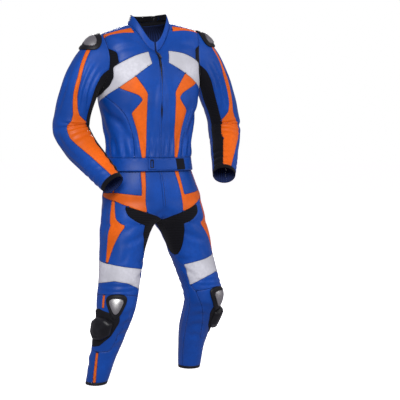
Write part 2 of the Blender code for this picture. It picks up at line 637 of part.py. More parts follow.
def plate(outer, inner, triangles, sources):
    """A closed wall between two matching sheets, its rim split the same way as its neighbour's."""
    count = len(outer)
    faces = [tuple(t) for t in triangles]
    faces += [tuple(count + i for i in reversed(t)) for t in triangles]
    for a, b in border_edges(triangles):
        if sources[a] < sources[b]:
            faces += [(b, a, count + b), (a, count + a, count + b)]
        else:
            faces += [(b, a, count + a), (b, count + a, count + b)]
    return np.concatenate([outer, inner]), faces


# Blender objects

def material(colour):
    name = "suit_" + colour
    if name in bpy.data.materials:
        return bpy.data.materials[name]
    made = bpy.data.materials.new(name)
    made.use_nodes = True
    shader = made.node_tree.nodes["Principled BSDF"]
    base, roughness, metallic = COLOURS[colour]
    shader.inputs["Base Color"].default_value = (*base, 1)
    shader.inputs["Roughness"].default_value = roughness
    shader.inputs["Metallic"].default_value = metallic
    made.diffuse_color = (*base, 1)
    return made


def colour_of(name):
    for colour, starts in PIECE_COLOUR.items():
        if name.startswith(starts):
            return colour
    return "blue"


def add_object(name, vertices, faces, collection):
    mesh = bpy.data.meshes.new(name)
    mesh.from_pydata([tuple(v) for v in vertices], [], [tuple(int(i) for i in f) for f in faces])
    mesh.validate()
    mesh.materials.append(material(colour_of(name)))
    made = bpy.data.objects.new(name, mesh)
    collection.objects.link(made)
    return made


def add_leather(skin, name, collection):
    """A cut piece of leather."""
    triangles, sources = own_corners(skin.triangles[skin.pieces == name])
    points, normals = skin.points[sources], skin.normals[sources]
    outer = drawn_in(points, normals, border_edges(triangles), SEAM / 2)
    vertices, faces = plate(outer, outer - normals * WALL, triangles, sources)
    return add_object(name, vertices, faces, collection)


def add_trim(skin, name, collection):
    """A piece that lies on the leather, made from its points moved out."""
    triangles, sources = own_corners(skin.triangles[skin.trim == name])
    points, normals = skin.points[sources], skin.normals[sources]
    plain = name.removesuffix("_left").removesuffix("_right")
    height = relief_height(plain, skin.places[sources])
    base = drawn_in(points, normals, border_edges(triangles), SEAM / 2) + normals * LIFT
    vertices, faces = plate(base + normals * height[:, None], base, triangles, sources)
    return add_object(name, vertices, faces, collection)


# The zip's slider and pull, in a frame of their own: across, up along the zip, out of the chest

SLIDER = {"width": 0.009, "height": 0.014, "depth": 0.0034, "lift": 0.0007}
BRIDGE = {"width": 0.0020, "half_length": 0.0052, "post": 0.0012, "under": 0.0018, "bar": 0.0012}
PULL_AXIS = {"up": -0.0025, "bar_radius": 0.0005}
PULL = {"width": 0.0080, "hole_width": 0.0036, "hole_length": 0.0040, "length": 0.026, "depth": 0.0011}
ZIP_PLACE = 0.000


def zip_frame():
    """Where the slider sits: on the centre front, square to the zip."""
    low, middle, high = torso(np.zeros(3), np.array([ZIP_PLACE - 0.008, ZIP_PLACE, ZIP_PLACE + 0.008]))
    up = Vector(high - low).normalized()
    across = Vector((1, 0, 0))
    up = (up - across * up.dot(across)).normalized()
    out = across.cross(up)
    frame = Matrix((across, up, out)).transposed().to_4x4()
    frame.translation = Vector(middle) + out * SLIDER["lift"]
    return frame


def block(name, low, high, collection):
    """A plain block between two corners of the zip's frame."""
    bpy.ops.mesh.primitive_cube_add(size=1)
    made = bpy.context.object
    made.name = name
    size = Vector(high) - Vector(low)
    made.data.transform(Matrix.Translation((Vector(low) + Vector(high)) / 2) @ Matrix.Diagonal((*size, 1)))
    for owner in list(made.users_collection):
        owner.objects.unlink(made)
    collection.objects.link(made)
    made.data.materials.append(material(colour_of(name)))
    return made


def cutter(name, low, high, collection):
    made = block(name, low, high, collection)
    made.hide_render = True
    made.display_type = "WIRE"
    return made


def boolean(target, tool, operation):
    step = target.modifiers.new(tool.name, "BOOLEAN")
    step.operation = operation
    step.object = tool


def add_zip_hardware(collection, cutters):
    frame = zip_frame()
    half, depth = SLIDER["width"] / 2, SLIDER["depth"]
    slider = block("zip_slider", (-half, -SLIDER["height"] / 2, 0), (half, SLIDER["height"] / 2, depth), collection)
    side, reach = BRIDGE["width"] / 2, BRIDGE["half_length"]
    over = depth + BRIDGE["under"]
    bridge = cutter("bridge_block", (-side, -reach, depth - 0.0006), (side, reach, over + BRIDGE["bar"]), cutters)
    opening = cutter("bridge_opening", (-half, -reach + BRIDGE["post"], depth),
                     (half, reach - BRIDGE["post"], over), cutters)
    boolean(bridge, opening, "DIFFERENCE")
    boolean(slider, bridge, "UNION")

    up, out = PULL_AXIS["up"], depth + BRIDGE["under"] / 2
    half, thick = PULL["width"] / 2, PULL["depth"] / 2
    pull = block("zip_pull", (-half, -PULL["length"], -thick), (half, PULL_AXIS["bar_radius"], thick), collection)
    hole = cutter("pull_hole", (-PULL["hole_width"] / 2, -PULL["hole_length"], -0.01),
                  (PULL["hole_width"] / 2, -PULL_AXIS["bar_radius"], 0.01), cutters)
    boolean(pull, hole, "DIFFERENCE")

    hinge = frame @ Matrix.Translation((0, up, out))
    for made in (slider, bridge, opening):
        made.matrix_world = frame
    for made in (pull, hole):
        made.matrix_world = hinge


def build_skin():
    skin = Skin()
    holes = [armhole_edge(0, 345), mirrored(armhole_edge(0, 345))]
    skin.add(torso, lay_out(CHARTS["torso"], TORSO_PIECES, TORSO_TRIM, holes), turned=False)
    skin.add(collar, lay_out(CHARTS["collar"], COLLAR_PIECES, []))
    sleeve_layout = lay_out(CHARTS["sleeve"], SLEEVE_PIECES, SLEEVE_TRIM)
    leg_layout = lay_out(CHARTS["leg"], LEG_PIECES, LEG_TRIM)
    for word, side in SIDES.items():
        skin.add(lambda a, b, s=side: sleeve(s, a, b), sleeve_layout, "_" + word, turned=side < 0)
        skin.add(lambda a, b, s=side: leg(s, a, b), leg_layout, "_" + word, turned=side > 0)
    skin.weld()
    skin.set_normals()
    return skin


def main():
    for old in list(bpy.data.objects):
        bpy.data.objects.remove(old)
    suit = bpy.data.collections.new("racing_suit")
    cutters = bpy.data.collections.new("racing_suit_cutters")
    for made in (suit, cutters):
        bpy.context.scene.collection.children.link(made)
    skin = build_skin()
    for name in dict.fromkeys(skin.pieces):
        add_leather(skin, name, suit)
    for name in dict.fromkeys(skin.trim):
        if name and not name.endswith("slot"):
            add_trim(skin, name, suit)
    add_zip_hardware(suit, cutters)


main()
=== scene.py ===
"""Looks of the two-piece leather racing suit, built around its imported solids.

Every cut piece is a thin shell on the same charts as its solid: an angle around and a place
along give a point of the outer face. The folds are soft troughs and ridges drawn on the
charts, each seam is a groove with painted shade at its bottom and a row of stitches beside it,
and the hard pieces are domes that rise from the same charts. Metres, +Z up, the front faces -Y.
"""
import math
from functools import partial
from itertools import product

import bmesh
import bpy
import numpy as np
from mathutils import Matrix, Vector
from mathutils.geometry import delaunay_2d_cdt
from mathutils.kdtree import KDTree


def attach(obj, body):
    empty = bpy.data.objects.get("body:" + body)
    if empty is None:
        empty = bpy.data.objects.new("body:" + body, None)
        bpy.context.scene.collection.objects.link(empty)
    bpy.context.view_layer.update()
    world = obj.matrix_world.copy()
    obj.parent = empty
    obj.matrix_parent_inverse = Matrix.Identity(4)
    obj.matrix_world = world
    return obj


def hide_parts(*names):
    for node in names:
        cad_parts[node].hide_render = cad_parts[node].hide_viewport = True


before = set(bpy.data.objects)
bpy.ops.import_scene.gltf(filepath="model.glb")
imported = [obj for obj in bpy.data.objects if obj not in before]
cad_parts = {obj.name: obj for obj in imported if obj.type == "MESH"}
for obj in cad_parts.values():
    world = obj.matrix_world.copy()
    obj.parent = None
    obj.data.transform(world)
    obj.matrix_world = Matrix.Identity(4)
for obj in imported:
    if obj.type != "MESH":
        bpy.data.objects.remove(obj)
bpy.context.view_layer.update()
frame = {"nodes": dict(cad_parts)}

# The leather shell: its wall, the gap and groove at a seam, its cut corners and its small unevenness
WALL = 0.0014
SEAM = 0.00004
GROOVE_WIDTH = 0.0026
GROOVE_DEPTH = 0.0009
CORNER = 0.006
UNEVENNESS = 0.0006

# The shell's mesh: how near points weld, steps along an outline, room around it, triangles of a scrap
WELD = 0.0004
SPACING = 0.0060
CLEAR = 0.0032
SCRAP = 120

# Stitches: how far from the edge, how long, and how finely both are measured
STITCH_INSET = 0.0042
STITCH_PITCH = 0.0034
STITCH_SAMPLE = 0.0015
EDGE_REACH = 0.02

# How strong a swell rises beside a fold, and how many half widths away
SWELL = 0.45
SWELL_PLACE = 1.9

# Hard pieces and straps: how far they stand off the leather, and where they lie
BASE = 0.0003
HUMP_WAY = (0.0, 0.97, 0.24)
BELT_METRIC = 0.0022
STRAP_LOW = -0.5480
STRAP_HIGH = -0.5035
STRAP_LIFT = 0.0012
FLAP_TOP = -0.105

FLOOR = -1.47
AMBIENT = (0.40, 0.38, 0.44)

# Heights and angles of the suit
COLLAR_HEIGHT = 0.040
NECK = 0.032
BAND_TOP = -0.500
BAND_BOTTOM = -0.552
TROUSER_TOP = -0.525
CROTCH = -0.762
TROUSER_HEM = -1.404
SLEEVE_HEAD = 0.140
CUFF_TOP = 0.562
CUFF_END = 0.580
ZIP_ANGLE = 2.4
FLY_ANGLE = 176.5
FLY_END = -0.690

SHOULDER_LEAN = 0.075
LEAN_FROM = -0.50
LEAN_TO = -0.20

ARMHOLE_MIDDLE = -0.113
ARMHOLE_HALF_HEIGHT = 0.110
ARMHOLE_HALF_ANGLE = 19.5
ARMHOLE_STEP = 5

TORSO = (
    ("height", "front_height", "back_height", "half_width", "front", "back", "roundness"),
    (-0.552, -0.552, -0.552, 0.184, 0.122, 0.120, 2.2),
    (-0.500, -0.500, -0.500, 0.178, 0.115, 0.112, 2.2),
    (-0.430, -0.430, -0.430, 0.180, 0.115, 0.113, 2.2),
    (-0.340, -0.342, -0.335, 0.193, 0.122, 0.127, 2.3),
    (-0.260, -0.266, -0.252, 0.208, 0.128, 0.139, 2.4),
    (-0.200, -0.212, -0.190, 0.214, 0.128, 0.144, 2.5),
    (-0.130, -0.160, -0.118, 0.215, 0.122, 0.142, 2.6),
    (-0.065, -0.123, -0.058, 0.215, 0.112, 0.131, 2.6),
    (-0.022, -0.105, -0.018, 0.211, 0.102, 0.117, 2.5),
    (-0.002, -0.097, 0.000, 0.198, 0.095, 0.105, 2.4),
    (0.015, -0.089, 0.014, 0.150, 0.083, 0.086, 2.2),
    (NECK, -0.080, 0.028, 0.088, 0.071, 0.065, 2.0),
)
COLLAR_TOP = {"side": 0.067, "front": -0.044, "back": 0.066, "half_width": 0.075, "fore": 0.064, "aft": 0.066}

ARM_COLUMNS = ("along", "x", "y", "z", "across", "fore")
RIGHT_ARM = (
    ARM_COLUMNS,
    (SLEEVE_HEAD, -0.296, 0.012, -0.255, 0.072, 0.070),
    (0.210, -0.312, 0.025, -0.320, 0.070, 0.068),
    (0.280, -0.318, 0.034, -0.380, 0.072, 0.070),
    (0.360, -0.300, -0.005, -0.446, 0.066, 0.065),
    (0.460, -0.260, -0.074, -0.520, 0.057, 0.057),
    (CUFF_END, -0.214, -0.150, -0.600, 0.046, 0.046),
)
LEFT_ARM = (
    ARM_COLUMNS,
    (SLEEVE_HEAD, 0.310, 0.012, -0.232, 0.072, 0.070),
    (0.210, 0.342, 0.024, -0.302, 0.068, 0.068),
    (0.280, 0.361, 0.034, -0.370, 0.067, 0.070),
    (0.360, 0.346, -0.002, -0.430, 0.062, 0.065),
    (0.460, 0.312, -0.062, -0.500, 0.054, 0.057),
    (CUFF_END, 0.274, -0.130, -0.574, 0.046, 0.046),
)
LEG = (
    ("height", "spread", "shift", "y", "stagger", "across", "front", "back", "turn"),
    (TROUSER_TOP, 0.000, 0.001, 0.000, 0.000, 0.168, 0.105, 0.104, 0),
    (-0.560, 0.000, 0.003, 0.000, 0.000, 0.1815, 0.112, 0.113, 0),
    (-0.610, 0.000, 0.009, 0.000, 0.000, 0.196, 0.120, 0.127, 0),
    (-0.665, 0.000, 0.014, 0.000, 0.000, 0.209, 0.122, 0.138, 0),
    (-0.710, 0.055, 0.017, 0.000, 0.000, 0.160, 0.120, 0.139, 0),
    (-0.740, 0.088, 0.019, -0.002, 0.000, 0.131, 0.114, 0.132, 0),
    (CROTCH, 0.110, 0.020, -0.003, 0.000, 0.110, 0.106, 0.122, 0),
    (-0.790, 0.126, 0.022, -0.005, 0.000, 0.102, 0.101, 0.114, 3),
    (-0.830, 0.140, 0.025, -0.008, 0.000, 0.095, 0.096, 0.106, 6),
    (-0.900, 0.156, 0.028, -0.014, 0.000, 0.089, 0.090, 0.097, 11),
    (-0.980, 0.174, 0.034, -0.022, 0.000, 0.084, 0.085, 0.088, 16),
    (-1.050, 0.189, 0.037, -0.028, 0.000, 0.082, 0.082, 0.080, 20),
    (-1.090, 0.194, 0.035, -0.030, 0.002, 0.079, 0.081, 0.077, 20),
    (-1.140, 0.198, 0.030, -0.020, 0.010, 0.072, 0.074, 0.078, 20),
    (-1.220, 0.204, 0.021, 0.010, 0.020, 0.062, 0.062, 0.075, 20),
    (-1.310, 0.216, 0.010, 0.038, 0.032, 0.052, 0.052, 0.062, 20),
    (TROUSER_HEM, 0.228, 0.002, 0.060, 0.042, 0.044, 0.047, 0.050, 20),
)
SIDES = {"left": 1, "right": -1}


# Reading the tables and the charts

def hermite(t, start, leave, end, arrive):
    """A smooth curve from start to end, with its slopes at both."""
    return ((2 * t**3 - 3 * t**2 + 1) * start + (t**3 - 2 * t**2 + t) * leave
            + (3 * t**2 - 2 * t**3) * end + (t**3 - t**2) * arrive)


def bow(a, b, c, count):
    """Points of the curve that leaves a towards b and reaches c from b."""
    t = np.linspace(0, 1, count)[:, None]
    return (1 - t) ** 2 * a + 2 * t * (1 - t) * b + t**2 * c


def column(table, name, at):
    """A column of a table at some stations, on a smooth curve through its rows."""
    rows = np.array(sorted(table[1:]), dtype=float)
    x, y = rows[:, 0], rows[:, table[0].index(name)]
    at = np.clip(np.asarray(at, dtype=float), x[0], x[-1])
    slope = np.diff(y) / np.diff(x)
    tangent = np.concatenate(([slope[0]], (slope[:-1] + slope[1:]) / 2, [slope[-1]]))
    tangent[1:-1][slope[:-1] * slope[1:] <= 0] = 0
    i = np.clip(np.searchsorted(x, at) - 1, 0, len(x) - 2)
    step = x[i + 1] - x[i]
    return hermite((at - x[i]) / step, y[i], step * tangent[i], y[i + 1], step * tangent[i + 1])


def ease(x, start, end):
    """From 0 at start to 1 at end, level at both."""
    t = np.clip((x - start) / (end - start), 0, 1)
    return t * t * (3 - 2 * t)


def unit(vectors):
    return vectors / np.maximum(np.linalg.norm(vectors, axis=-1, keepdims=True), 1e-12)


def lean(x, y, z):
    """The shoulders sit a little higher on the wearer's left."""
    return np.stack([x, y, z + SHOULDER_LEAN * x * ease(z, LEAN_FROM, LEAN_TO)], axis=-1)


def torso(angle, height):
    """Angle in degrees from the centre front towards the wearer's left, height at the side."""
    sine, cosine = np.sin(np.radians(angle)), np.cos(np.radians(angle))
    ahead = cosine > 0
    width = column(TORSO, "half_width", height)
    depth = np.where(ahead, column(TORSO, "front", height), column(TORSO, "back", height))
    middle = np.where(ahead, column(TORSO, "front_height", height), column(TORSO, "back_height", height))
    power = column(TORSO, "roundness", height)
    radius = (np.abs(sine / width) ** power + np.abs(cosine / depth) ** power) ** (-1 / power)
    return lean(radius * sine, -radius * cosine, height + (middle - height) * cosine**2)


def collar(angle, rise):
    """The standing collar, from the neck seam at 0 to its upper edge at 1."""
    sine, cosine = np.sin(np.radians(angle)), np.cos(np.radians(angle))
    ahead = cosine > 0
    depth = np.where(ahead, COLLAR_TOP["fore"], COLLAR_TOP["aft"])
    middle = np.where(ahead, COLLAR_TOP["front"], COLLAR_TOP["back"])
    radius = ((sine / COLLAR_TOP["half_width"]) ** 2 + (cosine / depth) ** 2) ** -0.5
    side = COLLAR_TOP["side"]
    top = lean(radius * sine, -radius * cosine, side + (middle - side) * cosine**2)
    rise = np.asarray(rise, dtype=float)[..., None]
    return torso(angle, np.full(np.shape(angle), NECK)) * (1 - rise) + top * rise


def armhole_place(angle):
    """Torso angle and height of a point of the left armhole, 0 at the shoulder, 90 in front."""
    turn = np.radians(angle)
    around = 90 - ARMHOLE_HALF_ANGLE * np.sin(turn)
    return around, ARMHOLE_MIDDLE + ARMHOLE_HALF_HEIGHT * np.cos(turn)


def arm_ring(side, angle, along):
    """A ring of the sleeve square to the arm, 0 outside, 90 in front, 180 inside."""
    table = LEFT_ARM if side > 0 else RIGHT_ARM

    def middle(at):
        return np.stack([column(table, axis, at) for axis in "xyz"], axis=-1)

    near = 0.045
    down = unit(middle(along + near) - middle(along - near))
    outward = unit(np.array([side, 0.0, 0.0]) - down * (down[..., 0:1] * side))
    ahead = np.cross(down, outward) * side
    turn = np.radians(angle)[..., None]
    across = column(table, "across", along)[..., None]
    fore = column(table, "fore", along)[..., None]
    return middle(along) + outward * across * np.cos(turn) + ahead * fore * np.sin(turn)


def sleeve(side, angle, along):
    """The sleeve leaves the armhole sideways and turns down into the arm's rings."""
    angle, along = np.broadcast_arrays(np.asarray(angle, float), np.asarray(along, float))
    around, height = armhole_place(angle)
    start = torso(side * around, height)
    end = arm_ring(side, angle, np.full_like(along, SLEEVE_HEAD))
    beyond = arm_ring(side, angle, np.full_like(along, SLEEVE_HEAD + 0.01))
    reach = np.linalg.norm(end - start, axis=-1, keepdims=True)
    dip = -0.35 - 0.25 * (1 - np.cos(np.radians(angle)))
    leave = unit(np.stack([np.full_like(dip, side), np.zeros_like(dip), dip], axis=-1)) * reach
    arrive = unit(beyond - end) * reach
    head = hermite(np.clip(along / SLEEVE_HEAD, 0, 1)[..., None], start, leave, end, arrive)
    below = arm_ring(side, angle, np.maximum(along, SLEEVE_HEAD))
    return np.where((along < SLEEVE_HEAD)[..., None], head, below)


def leg(side, angle, height):
    """0 outside, 90 in front, 180 and -180 at the centre seam and, below it, the inseam."""
    angle, height = np.broadcast_arrays(np.asarray(angle, float), np.asarray(height, float))
    spread, across = column(LEG, "spread", height), column(LEG, "across", height)
    seam = np.where(height < CROTCH, math.pi, np.arccos(np.clip(-spread / across, -1, 1)))
    turn = angle / 180 * seam
    depth = np.where(turn > 0, column(LEG, "front", height), column(LEG, "back", height))
    x, y = across * np.cos(turn), -depth * np.sin(turn)
    out = np.radians(column(LEG, "turn", height))
    x, y = x * np.cos(out) - y * np.sin(out), x * np.sin(out) + y * np.cos(out)
    x = column(LEG, "shift", height) + side * (spread + x)
    y = y + column(LEG, "y", height) + side * column(LEG, "stagger", height)
    return np.stack([x, y, height], axis=-1)


# Outlines of the cut pieces on their charts

def armhole_edge(start, end):
    step = ARMHOLE_STEP if end > start else -ARMHOLE_STEP
    return [tuple(float(c) for c in armhole_place(a)) for a in range(start, end + step, step)]


def mirrored(outline):
    return [(360 - angle, height) for angle, height in outline]


ARMHOLES = [armhole_edge(0, 355), mirrored(armhole_edge(0, 355))]


def both_sides(name, outline):
    return [(name + "_left", outline), (name + "_right", mirrored(outline))]


def box(low_angle, high_angle, low, high):
    return [(low_angle, low), (high_angle, low), (high_angle, high), (low_angle, high)]


CHEST_BAND = [(24, -0.004), (35, -0.040), (60, -0.112), (67, -0.128), (75, -0.200), (108, -0.256),
              (104, -0.277), (80, -0.250), (62, -0.216), (46, -0.175), (17, -0.087)]
CHEST_INSERT = [(43, -0.160), (64, -0.205), (58, -0.220), (38, -0.247), (33, -0.265), (38, -0.284),
                (49, -0.320), (43, -0.395), (36, BAND_TOP), (30, BAND_TOP), (26, -0.270), (25, -0.240)]
FRONT_GUSSET = [(64, -0.068), (61, -0.116), (67, -0.130), (66, -0.172), (71, -0.205), (84, -0.236),
                (104, -0.250)] + armhole_edge(210, 60)
SHOULDER_STRIPE = [(58, 0.0265), (71, 0.0295), (76, 0.016), (80, 0.002)] + armhole_edge(15, 30) + [
    (76, -0.004), (68, 0.012)]
BACK_BAND = armhole_edge(300, 210) + [(104, -0.272), (118, -0.236), (134, -0.168), (141, -0.104), (129, -0.052)]
BACK_INSERT = [(141, -0.125), (129, -0.190), (145, -0.216), (149, -0.232), (146, -0.247), (135, -0.266),
               (148, -0.452), (154, -0.462), (157, -0.452), (156, -0.225), (153, -0.205)]
HUMP = [(131, 0.012), (150, 0.020), (180, 0.022), (210, 0.020), (229, 0.012), (219, -0.020), (210, -0.060),
        (198, -0.105), (189, -0.130), (180, -0.137), (171, -0.130), (162, -0.105), (150, -0.060), (141, -0.020)]
FLANK = [(80, -0.240), (66, -0.280), (56, -0.325), (51, -0.380), (48, -0.440), (47, BAND_TOP), (108, BAND_TOP),
         (108, -0.250)]
BACK_FLANK = [(107, -0.255), (119, -0.234), (127, -0.300), (130, -0.370), (130, BAND_TOP), (107, BAND_TOP)]

TORSO_PIECES = (
    [("front_zip", box(0, ZIP_ANGLE, BAND_TOP, NECK)), ("front_zip", box(360 - ZIP_ANGLE, 360, BAND_TOP, NECK))]
    + both_sides("shoulder_stripe", SHOULDER_STRIPE)
    + both_sides("sleeve_stretch", FRONT_GUSSET)
    + both_sides("chest_band", CHEST_BAND)
    + [("back_elastic", box(142, 218, -0.542, -0.511))]
    + [("waistband", box(0, 360, BAND_BOTTOM, BAND_TOP))]
    + both_sides("chest_insert", CHEST_INSERT)
    + both_sides("back_band", BACK_BAND)
    + both_sides("back_insert", BACK_INSERT)
    + both_sides("jacket_front", [(0, NECK), (60, NECK), (64, 0.024), (79, -0.010), (80, -0.140), (0, -0.140)])
    + both_sides("jacket_front", [(0, -0.060), (30, -0.100), (50, -0.180), (29, -0.255), (29, -0.290),
                                  (33, BAND_TOP), (0, BAND_TOP)])
    + both_sides("jacket_flank", FLANK)
    + both_sides("jacket_side", [(40, -0.190), (60, -0.180), (96, -0.240), (96, BAND_TOP), (33, BAND_TOP),
                                 (29, -0.290), (29, -0.255)])
    + both_sides("back_flank", BACK_FLANK)
    + [("jacket_back", box(0, 360, BAND_TOP, NECK))]
)

SLEEVE_INSERT = [(24, 0.040), (48, 0.100), (58, 0.160), (71, 0.215), (70, 0.245), (54, 0.305), (42, 0.350),
                 (52, 0.430), (72, CUFF_TOP), (116, CUFF_TOP), (118, 0.410), (127, 0.385), (127, 0.300),
                 (124, 0.240), (92, 0.212), (80, 0.185), (70, 0.150), (60, 0.100), (37, 0.040)]
SLEEVE_STRETCH = [(105, 0.0), (104, 0.035), (117, 0.107), (124, 0.206), (124, 0.240), (127, 0.300),
                  (127, 0.385), (118, 0.410), (116, CUFF_TOP), (172, CUFF_TOP), (172, 0.340), (168, 0.200),
                  (165, 0.0)]
ELBOW_PATCH = [(-112, 0.226), (-96, 0.214), (-54, 0.214), (-38, 0.226), (-42, 0.243), (-75, 0.252),
               (-108, 0.243)]
SHOULDER_CUP = [(-34, 0.005), (0, 0.004), (34, 0.005), (52, 0.017), (46, 0.033), (16, 0.055), (-16, 0.055),
                (-46, 0.033), (-52, 0.017)]
ELBOW_CUP = [(-106, 0.268), (-44, 0.268), (-34, 0.280), (-58, 0.325), (-75, 0.332), (-92, 0.325), (-116, 0.280)]
BACK_SEAM = [(-180, 0), (-70, 0), (-62, 0.080), (-66, 0.160), (-64, 0.220), (-66, 0.300), (-64, 0.380),
             (-62, 0.460), (-60, CUFF_TOP), (-180, CUFF_TOP)]

SLEEVE_PIECES = [
    ("cuff", box(-180, 180, CUFF_TOP, CUFF_END)),
    ("sleeve_insert", SLEEVE_INSERT),
    ("sleeve_stretch", SLEEVE_STRETCH),
    ("elbow_patch", ELBOW_PATCH),
    ("undersleeve", BACK_SEAM),
    ("undersleeve", box(165, 180, 0, CUFF_TOP)),
    ("sleeve", box(-180, 180, 0, CUFF_END)),
]

HIP_INSERT = [(139, TROUSER_TOP), (136, -0.655), (133, -0.715), (60, -0.672), (0, -0.656), (-12, -0.653),
              (-12, -0.641), (0, -0.639), (60, -0.637), (127, -0.648), (125, TROUSER_TOP)]
THIGH_INSERT = [(42, -0.666), (54, -0.669), (50, -0.738), (62, -0.772), (50, -0.850), (43, -0.910),
                (35, -0.910), (31, -0.830), (28, -0.785), (26, -0.763), (32, -0.740), (37, -0.710)]
FRONT_CROTCH = [(82, -0.684), (133, -0.715), (180, -0.748), (180, -0.897), (166, -0.897), (148, -0.872),
                (130, -0.830), (110, -0.778), (98, -0.748), (83, -0.722)]
BACK_CROTCH = [(-180, -0.755), (-168, -0.800), (-158, -0.840), (-160, -0.875), (-170, -0.893), (-180, -0.897)]
SEAT_INSERT = [(-141, -0.585), (-150, -0.698), (-180, -0.712), (-180, -0.728), (-150, -0.722), (-116, -0.625),
               (-133, -0.585)]
KNEE_BANDS = {
    "left": [(-8, -0.882), (50, -0.898), (158, -0.935), (167, -1.022), (105, -0.983), (69, -0.970),
             (-8, -0.984)],
    "right": [(-8, -0.906), (50, -0.915), (158, -0.943), (167, -1.024), (105, -0.989), (69, -0.980),
              (-8, -1.000)],
}
CALF_STRETCH = [(-62, -0.985), (-90, -0.968), (-128, -0.970), (-138, -1.000), (-128, -1.100), (-110, -1.200),
                (-104, TROUSER_HEM), (-80, TROUSER_HEM), (-78, -1.200), (-66, -1.110), (-48, -1.045),
                (-48, -1.010)]
KNEE_CUP = [(62, -1.034), (85, -1.031), (108, -1.034), (118, -1.048), (98, -1.122), (88, -1.134), (78, -1.122),
            (53, -1.048)]
SLIDER_PATCH = [(-14, -1.105), (30, -1.090), (100, -1.112), (106, -1.140), (90, -1.200), (58, -1.240),
                (20, -1.250), (-16, -1.222), (-24, -1.150)]
SLIDER_PUCK = [(6, -1.140), (30, -1.122), (62, -1.122), (86, -1.142), (86, -1.190), (64, -1.215), (30, -1.218),
               (6, -1.194)]
KNEE_PANEL = [(8, -0.980), (69, -0.970), (105, -0.980), (166, -1.015), (156, -1.046), (90, -1.030), (8, -1.040)]
SHIN_PANEL = [(8, -1.036), (90, -1.026), (156, -1.044), (146, -1.085), (130, -1.140), (116, -1.200),
              (108, -1.262), (60, -1.266), (12, -1.262), (4, -1.150)]

LEG_PIECES = [
    ("fly_zip", box(FLY_ANGLE, 180, FLY_END, TROUSER_TOP)),
    ("lumbar_band", [(-28, TROUSER_TOP), (-28, -0.583), (-120, -0.592), (-180, -0.598), (-180, TROUSER_TOP)]),
    ("hip_insert", HIP_INSERT),
    ("thigh_insert", THIGH_INSERT),
    ("crotch_gusset", FRONT_CROTCH),
    ("crotch_gusset", BACK_CROTCH),
    ("seat_insert", SEAT_INSERT),
    ("knee_band", KNEE_BANDS),
    ("calf_stretch", CALF_STRETCH),
    ("side_stripe", [(46, TROUSER_TOP), (52, TROUSER_TOP), (49, -0.648), (43, -0.648)]),
    ("knee_stripe", [(42, -1.034), (50, -1.034), (50, -1.086), (42, -1.086)]),
    ("shin_stripe", [(49, -1.268), (60, -1.268), (81, TROUSER_HEM + 0.012), (65, TROUSER_HEM + 0.012)]),
    ("fly_panel", [(130, TROUSER_TOP), (180, TROUSER_TOP), (180, -0.760), (130, -0.720)]),
    ("seat_panel", [(-140, -0.580), (-180, -0.580), (-180, -0.720), (-150, -0.715)]),
    ("hem_binding", box(-180, 180, TROUSER_HEM, TROUSER_HEM + 0.012)),
    ("knee_panel", KNEE_PANEL),
    ("shin_panel", SHIN_PANEL),
    ("hip_panel", [(49, TROUSER_TOP), (131, TROUSER_TOP), (134, -0.656), (60, -0.646), (46, -0.646)]),
    ("side_panel", [(-10, TROUSER_TOP), (49, TROUSER_TOP), (46, -0.646), (-10, -0.646)]),
    ("back_leg", [(-10, TROUSER_TOP), (-10, TROUSER_HEM), (-180, TROUSER_HEM), (-180, TROUSER_TOP)]),
    ("trousers", box(-180, 180, TROUSER_HEM, TROUSER_TOP)),
]
COLLAR_PIECES = [("collar_insert", box(138, 222, 0.42, 1)), ("collar", box(ZIP_ANGLE, 360 - ZIP_ANGLE, 0, 1))]
SHARED = {"fly_zip", "lumbar_band", "crotch_gusset", "seat_insert", "fly_panel", "seat_panel"}
ONE_SIDED = {"shin_stripe_left": "trousers_left", "knee_stripe_left": "shin_panel_left"}

# Radius of the cut corners, in metres
CORNERS = {"crotch_gusset": 0.030, "calf_stretch": 0.022, "seat_insert": 0.010, "chest_insert": 0.008,
           "back_insert": 0.008, "sleeve_insert": 0.005, "sleeve_stretch": 0.010, "elbow_patch": 0.012,
           "back_band": 0.012, "jacket_flank": 0.040, "back_flank": 0.040, "shin_panel": 0.016,
           "lumbar_band": 0.016, "shin_stripe": 0.001, "knee_stripe": 0.001, "side_stripe": 0.001,
           "shoulder_stripe": 0.003, "undersleeve": 0.030, "back_elastic": 0.010, "chest_band": 0.006}


def rows(high, low, step):
    return tuple(np.linspace(high, low, round(abs(high - low) / step) + 1).tolist())


# A chart's metric is the size of one degree in metres
CHARTS = {
    "torso": {"columns": range(0, 361, 2), "metric": 0.0028, "rows": rows(BAND_BOTTOM, NECK, 0.006)},
    "collar": {"columns": (ZIP_ANGLE, *range(4, 357, 2), 360 - ZIP_ANGLE), "metric": 0.0014,
               "rows": rows(0, 1, 0.15)},
    "sleeve": {"columns": range(-180, 181, ARMHOLE_STEP), "metric": 0.0011, "rows": rows(0, CUFF_END, 0.006)},
    "leg": {"columns": range(-180, 181, 4), "metric": 0.0015, "rows": rows(TROUSER_TOP, TROUSER_HEM, 0.006)},
}


# Folds: three points of a line on the chart, half width and depth; a ridge is positive

def cross_folds(low, high, places, width, depth, bow=0.0):
    """Folds straight across a chart, at several places along it."""
    return [([(low, p), ((low + high) / 2, p + bow), (high, p)], width, depth) for p in places]


def in_metres(*table):
    """Folds from rows of three points of a line, half width and depth, in degrees and millimetres."""
    return [([(a, p / 1000), (b, q / 1000), (c, r / 1000)], width / 1000, depth / 1000)
            for a, p, b, q, c, r, width, depth in table]


def mirrored_folds(folds):
    return folds + [([(360 - a, h) for a, h in line], width, depth) for line, width, depth in folds]


